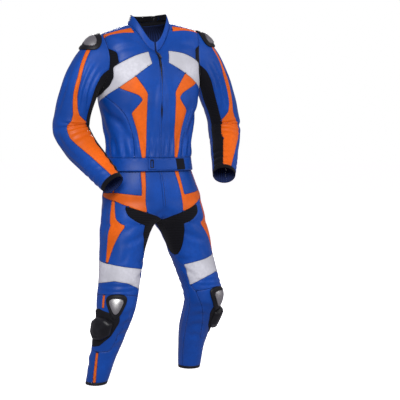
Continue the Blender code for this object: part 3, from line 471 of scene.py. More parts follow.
FOLDS = {
    "torso": mirrored_folds(
        [([(a, -0.496), (a + 1, -0.462), (a + 3, -0.410)], 0.008, -0.0034) for a in range(8, 172, 13)]
        + [([(a, -0.498), (a - 1, -0.480), (a - 2, -0.455)], 0.006, 0.0020) for a in range(14, 172, 13)]
        + in_metres(
            (9, -180, 13, -290, 10, -420, 14, -4.2), (19, -200, 20, -320, 18, -470, 14, -4),
            (52, -300, 48, -360, 42, -440, 12, -3.6), (68, -330, 62, -380, 50, -450, 14, -3.5),
            (86, -290, 76, -330, 60, -370, 13, -3.5), (96, -330, 90, -390, 76, -450, 14, -4),
            (108, -300, 112, -370, 118, -450, 14, -4.5), (124, -280, 127, -370, 132, -460, 14, -4),
            (160, -190, 164, -310, 166, -430, 14, -3.5), (172, -180, 173, -300, 175, -400, 12, -2.8),
            (52, -30, 62, -55, 66, -90, 10, -2.2), (40, -10, 50, -30, 56, -60, 10, -1.8),
            (122, -120, 128, -160, 126, -210, 10, -2.2))),
    "sleeve": (
        cross_folds(40, 140, (0.262, 0.287, 0.312, 0.338, 0.362), 0.0085, -0.0036, 0.006)
        + cross_folds(-170, -60, (0.190, 0.355), 0.009, -0.0020)
        + cross_folds(-60, 60, (0.490, 0.520, 0.545), 0.007, -0.0022, -0.008)
        + cross_folds(80, 190, (0.470, 0.505, 0.538), 0.007, -0.0020, 0.006)
        + in_metres(
            (12, 80, 18, 150, 12, 225, 9, -4.5), (-14, 90, -8, 170, -14, 240, 10, -4.5),
            (74, 50, 80, 110, 92, 190, 7, -6), (88, 40, 94, 90, 108, 160, 7, -5.6),
            (66, 45, 72, 100, 84, 180, 6, 3.6), (81, 45, 87, 95, 100, 170, 5, 3.2),
            (60, 75, 65, 120, 76, 200, 6, -4), (-70, 60, -80, 130, -72, 200, 12, -4),
            (-100, 70, -108, 140, -98, 215, 12, -3.8), (-140, 80, -136, 160, -128, 250, 12, -3.5),
            (20, 290, 4, 350, 10, 430, 11, -3.6), (-10, 340, -20, 400, -12, 480, 11, -3.4),
            (60, 300, 30, 290, 0, 268, 11, -3.4))),
    "leg": (
        cross_folds(-142, -44, (-0.965, -0.995, -1.026, -1.058, -1.090), 0.0100, -0.0045, 0.010)
        + cross_folds(112, 166, (-1.120, -1.160, -1.205, -1.255), 0.011, -0.0026, 0.012)
        + cross_folds(-36, 30, (-1.280, -1.330), 0.012, -0.0018, 0.008)
        + cross_folds(20, 150, (-0.998, -1.018), 0.006, -0.0026, -0.004)
        + in_metres(
            (176, -700, 168, -720, 150, -735, 10, -3), (172, -905, 150, -915, 128, -905, 10, -3),
            (174, -935, 160, -960, 140, -975, 10, -3.2), (124, -790, 104, -820, 76, -830, 13, -3.6),
            (96, -730, 80, -760, 66, -800, 14, -2.6), (24, -680, 12, -760, 16, -850, 14, -3.8),
            (82, -840, 88, -880, 82, -915, 12, -2.6), (-20, -690, -32, -760, -24, -850, 14, -4.2),
            (-158, -745, -128, -765, -84, -750, 15, -5.5), (-148, -800, -118, -812, -80, -790, 14, -3.6),
            (-142, -860, -108, -880, -60, -850, 15, -3.6), (-136, -915, -100, -935, -50, -905, 14, -3.6),
            (-60, -600, -70, -650, -64, -710, 18, -2.4), (-92, -610, -96, -660, -90, -700, 18, -2),
            (-40, -1110, -34, -1180, -42, -1250, 11, -3), (-150, -1110, -146, -1180, -140, -1260, 11, -3))),
    "collar": [],
}


def fold_height(places, folds, metric):
    """Sum of the folds at some places of a chart, each fading out at its ends."""
    scale = np.array([metric, 1.0])
    flat = places * scale
    total = np.zeros(len(flat))
    for line, width, depth in folds:
        first, middle, last = (np.array(p, dtype=float) for p in line)
        curve = bow(first, 2 * middle - (first + last) / 2, last, 9) * scale
        nearest, share = np.full(len(flat), 1e9), np.zeros(len(flat))
        for k, (a, b) in enumerate(zip(curve[:-1], curve[1:])):
            t = np.clip(((flat - a) @ (b - a)) / max(float((b - a) @ (b - a)), 1e-12), 0, 1)
            gap = np.linalg.norm(flat - a - t[:, None] * (b - a), axis=1)
            closer = gap < nearest
            nearest[closer] = gap[closer]
            share[closer] = (k + t[closer]) / (len(curve) - 1)
        fade = np.sqrt(np.clip(np.sin(np.pi * np.clip(share, 0.02, 0.98)), 0, 1))
        beside = np.exp(-((nearest - SWELL_PLACE * width) / width) ** 2)
        dip = np.exp(-(nearest / width) ** 2) - SWELL * beside
        total += depth * fade * dip
    return total


# Laying out a chart

def inside(outline, x, y):
    found = np.zeros(len(x), dtype=bool)
    for (x0, y0), (x1, y1) in zip(outline, outline[1:] + outline[:1]):
        if y0 == y1:
            continue
        crosses = (y0 > y) != (y1 > y)
        found ^= crosses & (x < (x1 - x0) * (y - y0) / (y1 - y0) + x0)
    return found


def ends(chart, name):
    return chart[name][0], chart[name][-1]


def cut_corner(outline, k, scale, radius, most, count):
    """Points that cut one corner round, within some share of both its sides."""
    before, here, after = (np.array(outline[i % len(outline)]) * scale for i in (k - 1, k, k + 1))
    first, last = (here + (p - here) * min(most, radius / max(np.linalg.norm(p - here), 1e-9))
                   for p in (before, after))
    return bow(first, here, last, count)


def rounded(outline, chart, radius):
    """The outline with its corners cut round, but for those on the chart's border or an armhole."""
    scale = np.array([chart["metric"], 1.0])
    places = (*ends(chart, "rows"), BAND_TOP, CUFF_TOP)
    points = []
    for k, corner in enumerate(outline):
        if corner[0] in ends(chart, "columns") or corner[1] in places or corner in ARMHOLES[0] + ARMHOLES[1]:
            points.append(corner)
        else:
            points += [(float(a), float(b)) for a, b in cut_corner(outline, k, scale, radius, 0.42, 5) / scale]
    return points


def cut_up(outline, chart):
    """Stretches of the outline in short steps, but for the chart's border."""
    stretches = []
    for (x0, y0), (x1, y1) in zip(outline, outline[1:] + outline[:1]):
        if x0 == x1 and x0 in ends(chart, "columns") or y0 == y1 and y0 in ends(chart, "rows"):
            continue
        count = max(1, math.ceil(math.hypot((x1 - x0) * chart["metric"], y1 - y0) / SPACING))
        stretches.append([(x0 + (x1 - x0) * k / count, y0 + (y1 - y0) * k / count) for k in range(count + 1)])
    return stretches


def in_sight(stretch, earlier):
    """The runs of a stretch that aren't inside an earlier outline."""
    x, y = np.array(stretch).T
    hidden = np.zeros(len(x), dtype=bool)
    for outline in earlier:
        hidden |= inside(outline, x, y)
    runs, run = [], [stretch[0]]
    for k in range(1, len(stretch)):
        if hidden[k - 1] and hidden[k]:
            runs.append(run)
            run = []
        run.append(stretch[k])
    return [run for run in runs + [run] if len(run) > 1]


def tree_of(places):
    tree = KDTree(len(places))
    for k, place in enumerate(places):
        tree.insert(Vector((*place, 0))[:3], k)
    tree.balance()
    return tree


def along_lines(points, edges, step):
    """Places at even steps along the edges."""
    found = []
    for a, b in edges:
        count = max(1, math.ceil(math.dist(points[a], points[b]) / step))
        found += [tuple(points[a][c] + (points[b][c] - points[a][c]) * k / count for c in (0, 1))
                  for k in range(count)]
    return found


def frame_points(chart, outlines):
    """The chart's border, with a point wherever an outline meets it."""
    left, right = ends(chart, "columns")
    met = [place for outline in outlines for place in outline]
    cuts = sorted({*chart["rows"], *(along for angle, along in met if angle in (left, right))})
    low, high = (sorted({*chart["columns"], *(angle for angle, along in met if along == end)})
                 for end in (cuts[0], cuts[-1]))
    border = [(left, place) for place in cuts] + [(angle, cuts[-1]) for angle in high]
    border += [(right, place) for place in reversed(cuts)]
    return border + [(angle, cuts[0]) for angle in reversed(low)]


def lay_out(chart, pieces, holes=()):
    """Places and triangles of a chart, and the piece that each triangle belongs to."""
    metric = chart["metric"]
    pieces = [(name, rounded(outline, chart, CORNERS.get(plain(name), CORNER))) for name, outline in pieces]
    outlines = [outline for _, outline in pieces]
    lines = [loop + loop[:1] for loop in (frame_points(chart, outlines), *holes)]
    for k, outline in enumerate(outlines):
        for stretch in cut_up(outline, chart):
            lines += in_sight(stretch, outlines[:k])
    points, edges = [], []
    for line in lines:
        edges += [(len(points) + k, len(points) + k + 1) for k in range(len(line) - 1)]
        points += [(angle * metric, along) for angle, along in line]
    tree = tree_of(along_lines(points, edges, CLEAR / 2))
    columns = np.array(chart["columns"], dtype=float)
    between = (columns[1:] + columns[:-1]) / 2
    for j, along in enumerate(chart["rows"][1:-1]):
        for angle in between if j % 2 else columns[1:-1]:
            if tree.find((angle * metric, along, 0))[2] > CLEAR:
                points.append((angle * metric, along))
    flat, _, triangles = delaunay_2d_cdt([Vector(p) for p in points], edges, [], 0, 1e-6)[:3]
    places = np.array([(v[0] / metric, v[1]) for v in flat])
    triangles = np.array([t for t in triangles if len(t) == 3])
    corners = places[triangles]
    x, y = corners.mean(axis=1).T
    ab, ac = corners[:, 1] - corners[:, 0], corners[:, 2] - corners[:, 0]
    area = np.abs(ab[:, 0] * ac[:, 1] - ab[:, 1] * ac[:, 0]) * metric / 2
    kept = (y > min(chart["rows"])) & (y < max(chart["rows"])) & (area > 1e-9)
    kept &= (x > columns[0]) & (x < columns[-1])
    for hole in holes:
        kept &= ~inside(hole, x, y)
    triangles, x, y = triangles[kept], x[kept], y[kept]
    names = np.full(len(x), "", dtype=object)
    for name, outline in pieces:
        names[(names == "") & inside(outline, x, y)] = name
    return places, triangles, names


def plain(name):
    return name.removesuffix("_left").removesuffix("_right")


# The skin

class Skin:
    """All triangles of the suit's outer face, with points shared between charts."""

    def __init__(self):
        self.points = np.zeros((0, 3))
        self.places = np.zeros((0, 2))
        self.folds = np.zeros(0)
        self.triangles = np.zeros((0, 3), dtype=int)
        self.pieces = np.zeros(0, dtype=object)

    def add(self, chart, surface, layout, suffix="", turned=False):
        places, triangles, names = layout
        if turned:
            triangles = triangles[:, ::-1]
        metric = CHARTS[chart]["metric"]
        self.triangles = np.concatenate([self.triangles, triangles + len(self.points)])
        self.points = np.concatenate([self.points, surface(places[:, 0], places[:, 1])])
        self.folds = np.concatenate([self.folds, fold_height(places, FOLDS[chart], metric)])
        scale = (metric, COLLAR_HEIGHT if chart == "collar" else 1)
        self.places = np.concatenate([self.places, places * scale])
        named = [name if not suffix or name in SHARED else name + suffix for name in names]
        named = np.array([ONE_SIDED.get(name, name) for name in named], dtype=object)
        self.pieces = np.concatenate([self.pieces, named])

    def weld(self):
        """Points of neighbouring charts that meet become one point."""
        index, target = {}, np.arange(len(self.points))
        for i in sorted({i for edge in border_edges(self.triangles) for i in edge}):
            cell = np.round(self.points[i] / WELD).astype(int)
            near = (tuple(cell + step) for step in product((-1, 0, 1), repeat=3))
            target[i] = next((index[k] for k in near if k in index
                              and np.linalg.norm(self.points[index[k]] - self.points[i]) < WELD), i)
            if target[i] == i:
                index[tuple(cell)] = i
        self.triangles = target[self.triangles]
        whole = [len(set(t)) == 3 for t in self.triangles]
        self.triangles, self.pieces = self.triangles[whole], self.pieces[whole]

    def adopt_scraps(self):
        """A scrap that is cut off from its piece joins the piece that it borders most."""
        owner = {}
        for t, corners in enumerate(self.triangles):
            for k in range(3):
                owner.setdefault(frozenset((corners[k], corners[k - 1])), []).append(t)
        neighbours = [[] for _ in self.triangles]
        for sharing in owner.values():
            for a in sharing:
                neighbours[a] += [b for b in sharing if b != a]
        for _ in range(3):
            seen = np.zeros(len(self.triangles), dtype=bool)
            groups = {}
            for first in range(len(self.triangles)):
                if seen[first]:
                    continue
                stack, group = [first], []
                seen[first] = True
                while stack:
                    t = stack.pop()
                    group.append(t)
                    for n in neighbours[t]:
                        if not seen[n] and self.pieces[n] == self.pieces[t]:
                            seen[n] = True
                            stack.append(n)
                groups.setdefault(self.pieces[first], []).append(group)
            scraps = [g for own in groups.values() for g in sorted(own, key=len)[:-1] if len(g) < SCRAP]
            for group in scraps:
                around = [self.pieces[n] for t in group for n in neighbours[t]]
                around = [name for name in around if name != self.pieces[group[0]]]
                if around:
                    self.pieces[group] = max(sorted(set(around)), key=around.count)

    def set_normals(self):
        corners = self.points[self.triangles]
        facing = unit(np.cross(corners[:, 1] - corners[:, 0], corners[:, 2] - corners[:, 0]))
        normals = np.zeros_like(self.points)
        for k in range(3):
            a = unit(corners[:, (k + 1) % 3] - corners[:, k])
            b = unit(corners[:, (k + 2) % 3] - corners[:, k])
            corner = np.arccos(np.clip((a * b).sum(axis=1), -1, 1))
            np.add.at(normals, self.triangles[:, k], facing * corner[:, None])
        self.normals = unit(normals)

    def fold(self):
        """The folds and a slight unevenness, as moves along the normals."""
        x, y, z = self.points.T
        uneven = np.sin(31 * x + 17 * z) * np.sin(23 * y - 29 * z + 1)
        uneven += np.sin(53 * z + 37 * y) * np.sin(41 * x)
        self.points = self.points + self.normals * (self.folds + UNEVENNESS * uneven)[:, None]
        self.set_normals()


def own_corners(triangles):
    """Corner numbers of one piece, with a point doubled where only tips of it touch."""
    fans = {}
    parent = list(range(len(triangles) * 3))

    def root(i):
        while parent[i] != i:
            parent[i] = parent[parent[i]]
            i = parent[i]
        return i

    for t, corners in enumerate(triangles.tolist()):
        for k in range(3):
            a, b = corners[k], corners[(k + 1) % 3]
            other = fans.pop((b, a), None)
            if other is None:
                fans[(a, b)] = (t * 3 + k, t * 3 + (k + 1) % 3)
                continue
            parent[root(t * 3 + k)] = root(other[1])
            parent[root(t * 3 + (k + 1) % 3)] = root(other[0])
    roots = {}
    numbers = np.array([roots.setdefault(root(i), len(roots)) for i in range(len(parent))]).reshape(-1, 3)
    sources = np.zeros(len(roots), dtype=int)
    sources[numbers.ravel()] = triangles.ravel()
    return numbers, sources


def border_edges(triangles):
    edges = {(a, b) for t in triangles.tolist() for a, b in ((t[0], t[1]), (t[1], t[2]), (t[2], t[0]))}
    return [edge for edge in sorted(edges) if (edge[1], edge[0]) not in edges]


def inward_ways(points, normals, edges):
    """For each border point, the move that draws both its edges in by 1."""
    ways = {}
    for a, b in edges:
        for i in (a, b):
            ways.setdefault(i, []).append(unit(np.cross(normals[i], points[b] - points[a])))
    moves = np.zeros_like(points)
    for i, own in ways.items():
        way = sum(own)
        moves[i] = way / max(float(way @ own[0]), 0.4)
    return moves


def border_runs(points, edges):
    """Samples along the border with their distance along it, for the stitches."""
    follow = {a: b for a, b in edges}
    samples, runs, left = [], [], set(follow)
    while left:
        start = min(left)
        run, here = 0.0, start
        while here in left:
            left.remove(here)
            there = follow[here]
            length = float(np.linalg.norm(points[there] - points[here]))
            count = max(1, math.ceil(length / STITCH_SAMPLE))
            for k in range(count):
                samples.append(points[here] + (points[there] - points[here]) * k / count)
                runs.append(run + length * k / count)
            run += length
            here = there
    return samples, runs


# Materials

class Graph:
    """A short way to write a material's nodes."""

    def __init__(self, name, colour, roughness, metallic=0.0, **sockets):
        self.material = bpy.data.materials.new(name)
        self.material.use_nodes = True
        self.tree = self.material.node_tree
        self.shader = self.tree.nodes["Principled BSDF"]
        self.material.diffuse_color = (*colour, 1)
        values = {"Base Color": (*colour, 1), "Roughness": roughness, "Metallic": metallic}
        values.update({key.replace("_", " "): value for key, value in sockets.items()})
        for key, value in values.items():
            self.shader.inputs[key].default_value = value

    def add(self, kind, out=0, props=None, **inputs):
        node = self.tree.nodes.new("ShaderNode" + kind)
        for key, value in (props or {}).items():
            setattr(node, key, value)
        for key, value in inputs.items():
            socket = node.inputs[int(key[1:])] if key[0] == "i" and key[1:].isdigit() else node.inputs[key]
            if isinstance(value, bpy.types.NodeSocket):
                self.tree.links.new(value, socket)
            else:
                socket.default_value = value
        return node.outputs[out]

    def math(self, operation, a, b=0.0):
        return self.add("Math", props={"operation": operation}, i0=a, i1=b)

    def times(self, a, b):
        return self.math("MULTIPLY", a, b)

    def apart(self, value, other):
        """How far a value is from a number."""
        return self.math("ABSOLUTE", self.math("SUBTRACT", value, other))

    def spread(self, value, low, high, start=0.0, end=1.0):
        return self.add("MapRange", props={"interpolation_type": "SMOOTHSTEP"}, Value=value,
                        i1=low, i2=high, i3=start, i4=end)

    def mix(self, share, a, b):
        return self.add("Mix", out=2, props={"data_type": "RGBA"}, i0=share, i6=a, i7=b)

    def noise(self, place, scale, detail=3.0):
        return self.add("TexNoise", Vector=place, Scale=scale, Detail=detail)

    def attribute(self, name):
        return self.add("Attribute", out=2, props={"attribute_name": name})

    def place(self):
        return self.add("TexCoord", out=3)

    def plan(self):
        return self.add("UVMap", props={"uv_map": "plan"})

    def bump(self, height, distance, strength=1.0, after=None):
        inputs = {"Height": height, "Distance": distance, "Strength": strength}
        if after is not None:
            inputs["Normal"] = after
        return self.add("Bump", **inputs)

    def finish(self, colour=None, roughness=None, normal=None):
        for key, value in (("Base Color", colour), ("Roughness", roughness), ("Normal", normal)):
            if value is not None:
                self.tree.links.new(value, self.shader.inputs[key])
        return self.material


def tone(colour, factor):
    return (*(min(1.0, c * factor) for c in colour), 1)


def leather(name, colour, roughness, thread, grain=1.0):
    """Grained cowhide: mottled colour, fine pebble, soft creases, worn seams, painted shade down in each seam
    groove, and a row of stitches.
    """
    g = Graph(name, colour, roughness, Specular_IOR_Level=0.24, Coat_Weight=0.02, Coat_Roughness=0.25)
    place = g.place()
    cloud, mottle, crease = g.noise(place, 7.0, 4.0), g.noise(place, 90.0, 3.0), g.noise(place, 38.0, 6.0)
    pebble = g.add("TexVoronoi", props={"feature": "F1"}, Vector=place, Scale=620.0)
    edge = g.attribute("edge")
    shade = g.mix(g.spread(cloud, 0.30, 0.70), tone(colour, 0.82), tone(colour, 1.16))
    shade = g.mix(g.times(g.spread(mottle, 0.35, 0.65), 0.35), shade, tone(colour, 0.80))
    wear = g.times(g.spread(edge, 0.0012, 0.0045, 1.0, 0.0), g.spread(crease, 0.42, 0.62))
    shade = g.mix(g.times(wear, 0.30), shade, tone([c * 0.8 + 0.05 for c in colour], 1.0))
    # Painted shade: the leather turns nearly black at the bottom of each seam groove, where shade falls
    fold = g.spread(edge, 0.0, 0.0012, 1.0, 0.0)
    shade = g.mix(g.times(fold, 0.75), shade, tone(colour, 0.18))
    row = g.spread(g.apart(edge, STITCH_INSET), 0.00035, 0.00060, 1.0, 0.0)
    dash = g.math("FRACT", g.math("DIVIDE", g.attribute("run"), STITCH_PITCH))
    stitch = g.times(row, g.spread(g.apart(dash, 0.5), 0.30, 0.40, 1.0, 0.0))
    shade = g.mix(stitch, shade, (*thread, 1))
    rough = g.math("ADD", g.times(cloud, 0.22), roughness - 0.10)
    normal = g.bump(pebble, 0.00022 * grain, 0.55)
    normal = g.bump(crease, 0.0016 * grain, 0.30, normal)
    normal = g.bump(g.spread(g.apart(edge, STITCH_INSET), 0.0, 0.0016), 0.0006, 0.8, normal)
    return g.finish(shade, rough, g.bump(stitch, 0.0005, 1.0, normal))


def ribbed(name, colour, rib, across):
    """Stretch fabric: fine ribs painted darker in their troughs and lighter on their crests, over a weave, with
    a soft sheen and painted shade at the seams.
    """
    g = Graph(name, colour, 0.88, Specular_IOR_Level=0.12, Sheen_Weight=0.05, Sheen_Roughness=0.45)
    plan, place = g.plan(), g.place()
    ribs = g.add("TexWave", props={"bands_direction": across, "wave_profile": "SIN"}, Vector=plan,
                 Scale=0.5 / math.pi / rib, Distortion=0.4, Detail=1.0)
    weave = g.add("TexVoronoi", Vector=place, Scale=1500.0)
    cloud = g.noise(place, 14.0, 4.0)
    # Painted light on the ribs: darker in their troughs and lighter on their crests, following the same waves
    # as the ribs' bump
    shade = g.mix(g.spread(ribs, 0.15, 0.75), tone(colour, 0.45), tone(colour, 1.35))
    shade = g.mix(g.times(cloud, 0.35), shade, tone(colour, 1.8))
    # Painted shade: the fabric darkens at the bottom of each seam groove, where shade falls
    shade = g.mix(g.spread(g.attribute("edge"), 0.0, 0.0012, 0.7, 0.0), shade, tone(colour, 0.2))
    return g.finish(shade, None, g.bump(weave, 0.0002, 0.6, g.bump(ribs, 0.0008, 0.8)))


def moulded(name, colour, roughness, bumps=0.00012, rubbed=0.2):
    """Moulded plastic or rubber with a fine matt texture and rubbed spots."""
    g = Graph(name, colour, roughness, Specular_IOR_Level=0.22)
    place = g.place()
    cloud, fine = g.noise(place, 26.0, 4.0), g.noise(place, 1400.0, 2.0)
    shade = g.mix(g.spread(cloud, 0.45, 0.75), tone(colour, 1 - rubbed), tone(colour, 1 + 3 * rubbed))
    rough = g.math("ADD", g.times(cloud, rubbed), roughness - rubbed / 2)
    return g.finish(shade, rough, g.bump(fine, bumps, 0.7))


def brushed(name, colour, roughness, scale=(30.0, 900.0, 900.0)):
    """Metal brushed one way, with faint scratches."""
    g = Graph(name, colour, roughness, 1.0)
    place = g.add("Mapping", Vector=g.place(), Scale=scale)
    lines, cloud = g.noise(place, 1.0, 4.0), g.noise(g.place(), 30.0, 3.0)
    shade = g.mix(g.spread(lines, 0.35, 0.70), tone(colour, 0.72), tone(colour, 1.1))
    rough = g.math("ADD", g.times(cloud, 0.25), roughness - 0.08)
    return g.finish(shade, rough, g.bump(lines, 0.0001, 0.5))


def make_materials():
    blue, orange = (0.002, 0.058, 0.330), (0.750, 0.118, 0.001)
    white, black = (0.570, 0.575, 0.610), (0.006, 0.006, 0.008)
    return {
        "blue": leather("blue_leather", blue, 0.44, (0.016, 0.075, 0.400)),
        "orange": leather("orange_leather", orange, 0.46, (0.800, 0.200, 0.030)),
        "white": leather("white_leather", white, 0.48, (0.550, 0.550, 0.600), 0.8),
        "black": leather("black_leather", black, 0.50, (0.030, 0.030, 0.035)),
        "stretch": ribbed("stretch_fabric", (0.005, 0.005, 0.007), 0.0035, "Y"),
        "knit": ribbed("knit_rib", (0.005, 0.005, 0.007), 0.0030, "X"),
        "patch": moulded("slider_backing", (0.006, 0.006, 0.008), 0.75, 0.00020),
        "lining": ribbed("navy_lining", (0.014, 0.026, 0.100), 0.0060, "X"),
        "tape": ribbed("zip_tape", (0.010, 0.011, 0.018), 0.0016, "Y"),
        "hump": moulded("white_shell", (0.600, 0.600, 0.640), 0.24, 0.00003, 0.03),
        "armour": moulded("armour_black", (0.007, 0.007, 0.009), 0.50),
        "puck": moulded("slider_black", (0.008, 0.008, 0.010), 0.34, 0.00018),
        "plate": brushed("plate_metal", (0.400, 0.395, 0.390), 0.36),
        "metal": brushed("zip_metal", (0.170, 0.170, 0.180), 0.32, (600.0, 600.0, 60.0)),
    }


FINISH = {
    "orange": ("shoulder_stripe", "chest_insert", "back_insert", "sleeve_insert", "hip_insert", "thigh_insert",
               "seat_insert", "side_stripe", "knee_stripe", "shin_stripe"),
    "white": ("chest_band", "back_band", "elbow_patch", "lumbar_band", "knee_band"),
    "stretch": ("sleeve_stretch", "crotch_gusset", "calf_stretch", "back_elastic"),
    "knit": ("cuff", "collar_insert"),
    "black": ("hem_binding",),
    "tape": ("front_zip", "fly_zip"),
}
SLOTS = {"blue": "blue_leather", "orange": "orange_leather", "white": "white_leather",
         "stretch": "stretch_fabric", "knit": "black_leather", "black": "black_leather", "tape": "zip_tape"}
STRIPES = ("side_stripe", "knee_stripe", "shin_stripe")


def finish_of(name):
    return next((finish for finish, starts in FINISH.items() if plain(name) in starts), "blue")


# Making the pieces

def new_object(name, vertices, faces, materials, smooth=True, sharp=None):
    """A mesh object, with edges sharper than some angle in degrees left unsmoothed."""
    mesh = bpy.data.meshes.new(name)
    mesh.from_pydata([tuple(v) for v in vertices], [], [tuple(int(i) for i in f) for f in faces])
    for each in materials:
        mesh.materials.append(each)
    mesh.polygons.foreach_set("use_smooth", [smooth] * len(mesh.polygons))
    if sharp is not None:
        mesh.set_sharp_from_angle(angle=math.radians(sharp))
    made = bpy.data.objects.new(name, mesh)
    bpy.context.scene.collection.objects.link(made)
    return made


def faced_out(piece):
    """A closed piece, with its faces turned to the outside whichever way its outline ran."""
    solid = bmesh.new()
    solid.from_mesh(piece.data)
    if solid.calc_volume(signed=True) < 0:
        piece.data.flip_normals()
    solid.free()
    return piece


def fit(piece, slot, *nodes):
    """The piece rides on the root and stands for some solids, whose own meshes are hidden; the slot is not
    used.
    """
    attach(piece, "root")
    if nodes:
        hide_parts(*nodes)
    return piece


def number_points(piece, name, values):
    piece.data.attributes.new(name, "FLOAT", "POINT").data.foreach_set("value", values)


def without_seams(piece):
    """Leather far from any seam, so that its material draws no stitches, seam wear or painted seam shade."""
    number_points(piece, "edge", [EDGE_REACH] * len(piece.data.vertices))


def add_leather(skin, name, looks):
    """A cut piece: its share of the skin, lower at its seams, with a thin wall behind."""
    triangles, sources = own_corners(skin.triangles[skin.pieces == name])
    points, normals, places = skin.points[sources], skin.normals[sources], skin.places[sources]
    edges = border_edges(triangles)
    moves = inward_ways(points, normals, edges)
    count = len(points)
    rim = sorted({i for edge in edges for i in edge})
    rim_index = {i: count + k for k, i in enumerate(rim)}
    upper = points + moves * GROOVE_WIDTH
    lower = points[rim] + moves[rim] * SEAM / 2 - normals[rim] * GROOVE_DEPTH
    faces = [tuple(t) for t in triangles] + [(rim_index[a], rim_index[b], b, a) for a, b in edges]
    vertices = np.concatenate([upper, lower])
    lining = looks["knit" if plain(name).startswith("collar") else "lining"]
    made = new_object(name + "_cut", vertices, faces, (looks[finish_of(name)], lining))
    samples, runs = border_runs(points, edges)
    tree = tree_of(samples)
    found = [tree.find(Vector(v)) for v in vertices]
    # Distance from the seam, 0 on the groove's floor, where the materials paint their darkest shade; the seam
    # wear and stitches are placed by it too
    number_points(made, "edge", [min(f[2], EDGE_REACH) if k < count else 0.0 for k, f in enumerate(found)])
    number_points(made, "run", [runs[f[1]] for f in found])
    plan = made.data.uv_layers.new(name="plan")
    flat = np.concatenate([places, places[rim]])
    corners = np.zeros(len(made.data.loops), dtype=int)
    made.data.loops.foreach_get("vertex_index", corners)
    plan.data.foreach_set("uv", flat[corners].ravel())
    shell = made.modifiers.new("wall", "SOLIDIFY")
    shell.thickness = WALL
    shell.offset = -1.0
    shell.material_offset = 1
    shell.use_even_offset = False
    return made


# Domes that rise from a chart: the hard pieces

def chart_point(surface, places, height, sign, way=None):
    """Points over a chart at some height along its normal, or along one way for all."""
    angle, along = places[..., 0], places[..., 1]
    if way is None:
        du = surface(angle + 0.5, along) - surface(angle - 0.5, along)
        dv = surface(angle, along + 0.0005) - surface(angle, along - 0.0005)
        way = unit(np.cross(du, dv)) * sign
    return surface(angle, along) + np.array(way) * np.asarray(height)[..., None]


def reach_along(line):
    """How far each point of a line is from its start."""
    return np.concatenate([[0], np.cumsum(np.linalg.norm(np.diff(line, axis=0), axis=1))])


def smooth_loop(outline, metric, rounding, count, passes=0):
    """The outline with round corners, as evenly spaced points, evened out some times."""
    scale = np.array([metric, 1.0])
    points = np.concatenate([cut_corner(outline, k, scale, rounding, 0.5, 7) for k in range(len(outline))])
    points = np.concatenate([points, points[:1]])
    lengths = reach_along(points)
    at = np.linspace(0, lengths[-1], count, endpoint=False)
    loop = np.stack([np.interp(at, lengths, points[:, 0]), np.interp(at, lengths, points[:, 1])], axis=-1)
    for _ in range(passes):
        loop = loop / 2 + (np.roll(loop, 1, axis=0) + np.roll(loop, -1, axis=0)) / 4
    return loop / scale


def band(a, b, count):
    """Faces between two rings of points, which start at a and b."""
    return [(a + k, b + k, b + (k + 1) % count, a + (k + 1) % count) for k in range(count)]


def dome(name, surface, sign, metric, outline, middle, profile, material, rounding=0.010, count=72, way=None,
         passes=0):
    """A closed dome: profile gives (share of the way from middle to edge, height)."""
    loop = smooth_loop(outline, metric, rounding, count, passes)
    middle = np.array(middle, dtype=float)
    profile = profile + [(share, BASE) for share in np.linspace(1.0, 0.1, 10)]
    sheets = [chart_point(surface, middle + share * (loop - middle), height, sign, way)
              for share, height in profile[1:]]
    top, floor = (chart_point(surface, middle[None], height, sign, way) for height in (profile[0][1], BASE))
    vertices = np.concatenate([top, *sheets, floor])
    last = len(vertices) - 1
    faces = [(0, 1 + k, 1 + (k + 1) % count) for k in range(count)]
    faces += [(last, last - count + (k + 1) % count, last - count + k) for k in range(count)]
    for ring in range(len(sheets) - 1):
        faces += band(1 + ring * count, 1 + (ring + 1) * count, count)
    return faced_out(new_object(name, vertices, faces, (material,), sharp=50))


def ring_strip(name, outer, inner, low, high, material):
    """A flat frame between two outlines, standing over the torso."""
    count = len(outer)
    sheets = [(outer, low), (outer, high), (inner, high), (inner, low)]
    vertices = np.concatenate([chart_point(torso, loop, height, 1) for loop, height in sheets])
    faces = [face for s in range(4) for face in band((s + 1) % 4 * count, s * count, count)]
    return new_object(name, vertices, faces, (material,), sharp=40)


def slab(name, places, surface, sign, low, high, material):
    """A closed sheet over a grid of places on a chart, between two heights."""
    sheets = [chart_point(surface, places, height, sign).reshape(-1, 3) for height in (high, low)]
    w, h = places.shape[:2]
    faces = []
    for i in range(w - 1):
        for j in range(h - 1):
            face = [i * h + j, (i + 1) * h + j, (i + 1) * h + j + 1, i * h + j + 1]
            faces += [face, [k + w * h for k in face[::-1]]]
    around = [i * h for i in range(w)] + [(w - 1) * h + j for j in range(1, h)]
    around += [i * h + h - 1 for i in range(w - 2, -1, -1)] + list(range(h - 2, 0, -1))
    faces += [[b, a, a + w * h, b + w * h] for a, b in zip(around, around[1:] + around[:1])]
    return faced_out(new_object(name, np.concatenate(sheets), faces, (material,), sharp=40))


def strap(name, low_angle, high_angle, thick, material):
    """A strap that lies on the torso between two angles, with a rounded top and seams along it."""
    columns = np.linspace(low_angle, high_angle, max(4, round((high_angle - low_angle) / 2)))
    across = np.linspace(STRAP_LOW, STRAP_HIGH, 9)
    places = np.stack(np.meshgrid(columns, across, indexing="ij"), axis=-1)
    off = np.abs(across - (STRAP_LOW + STRAP_HIGH) / 2) / ((STRAP_HIGH - STRAP_LOW) / 2)
    made = slab(name, places, torso, 1, STRAP_LIFT, STRAP_LIFT + thick * (1 - off**6 * 0.7), material)
    inset = np.minimum(across - STRAP_LOW, STRAP_HIGH - across)
    number_points(made, "edge", np.tile(inset, 2 * len(columns)))
    number_points(made, "run", np.tile(np.repeat(columns * BELT_METRIC, len(across)), 2))
    return made


def shrunk(outline, middle, share, shift=(0, 0)):
    return [(middle[0] + shift[0] + share * (a - middle[0]), middle[1] + shift[1] + share * (b - middle[1]))
            for a, b in outline]


CUP_SIZE = 1.05
CUP_SHARES = (0.0, 0.30, 0.50, 0.62, 0.68, 0.78, 0.92, 1.0)
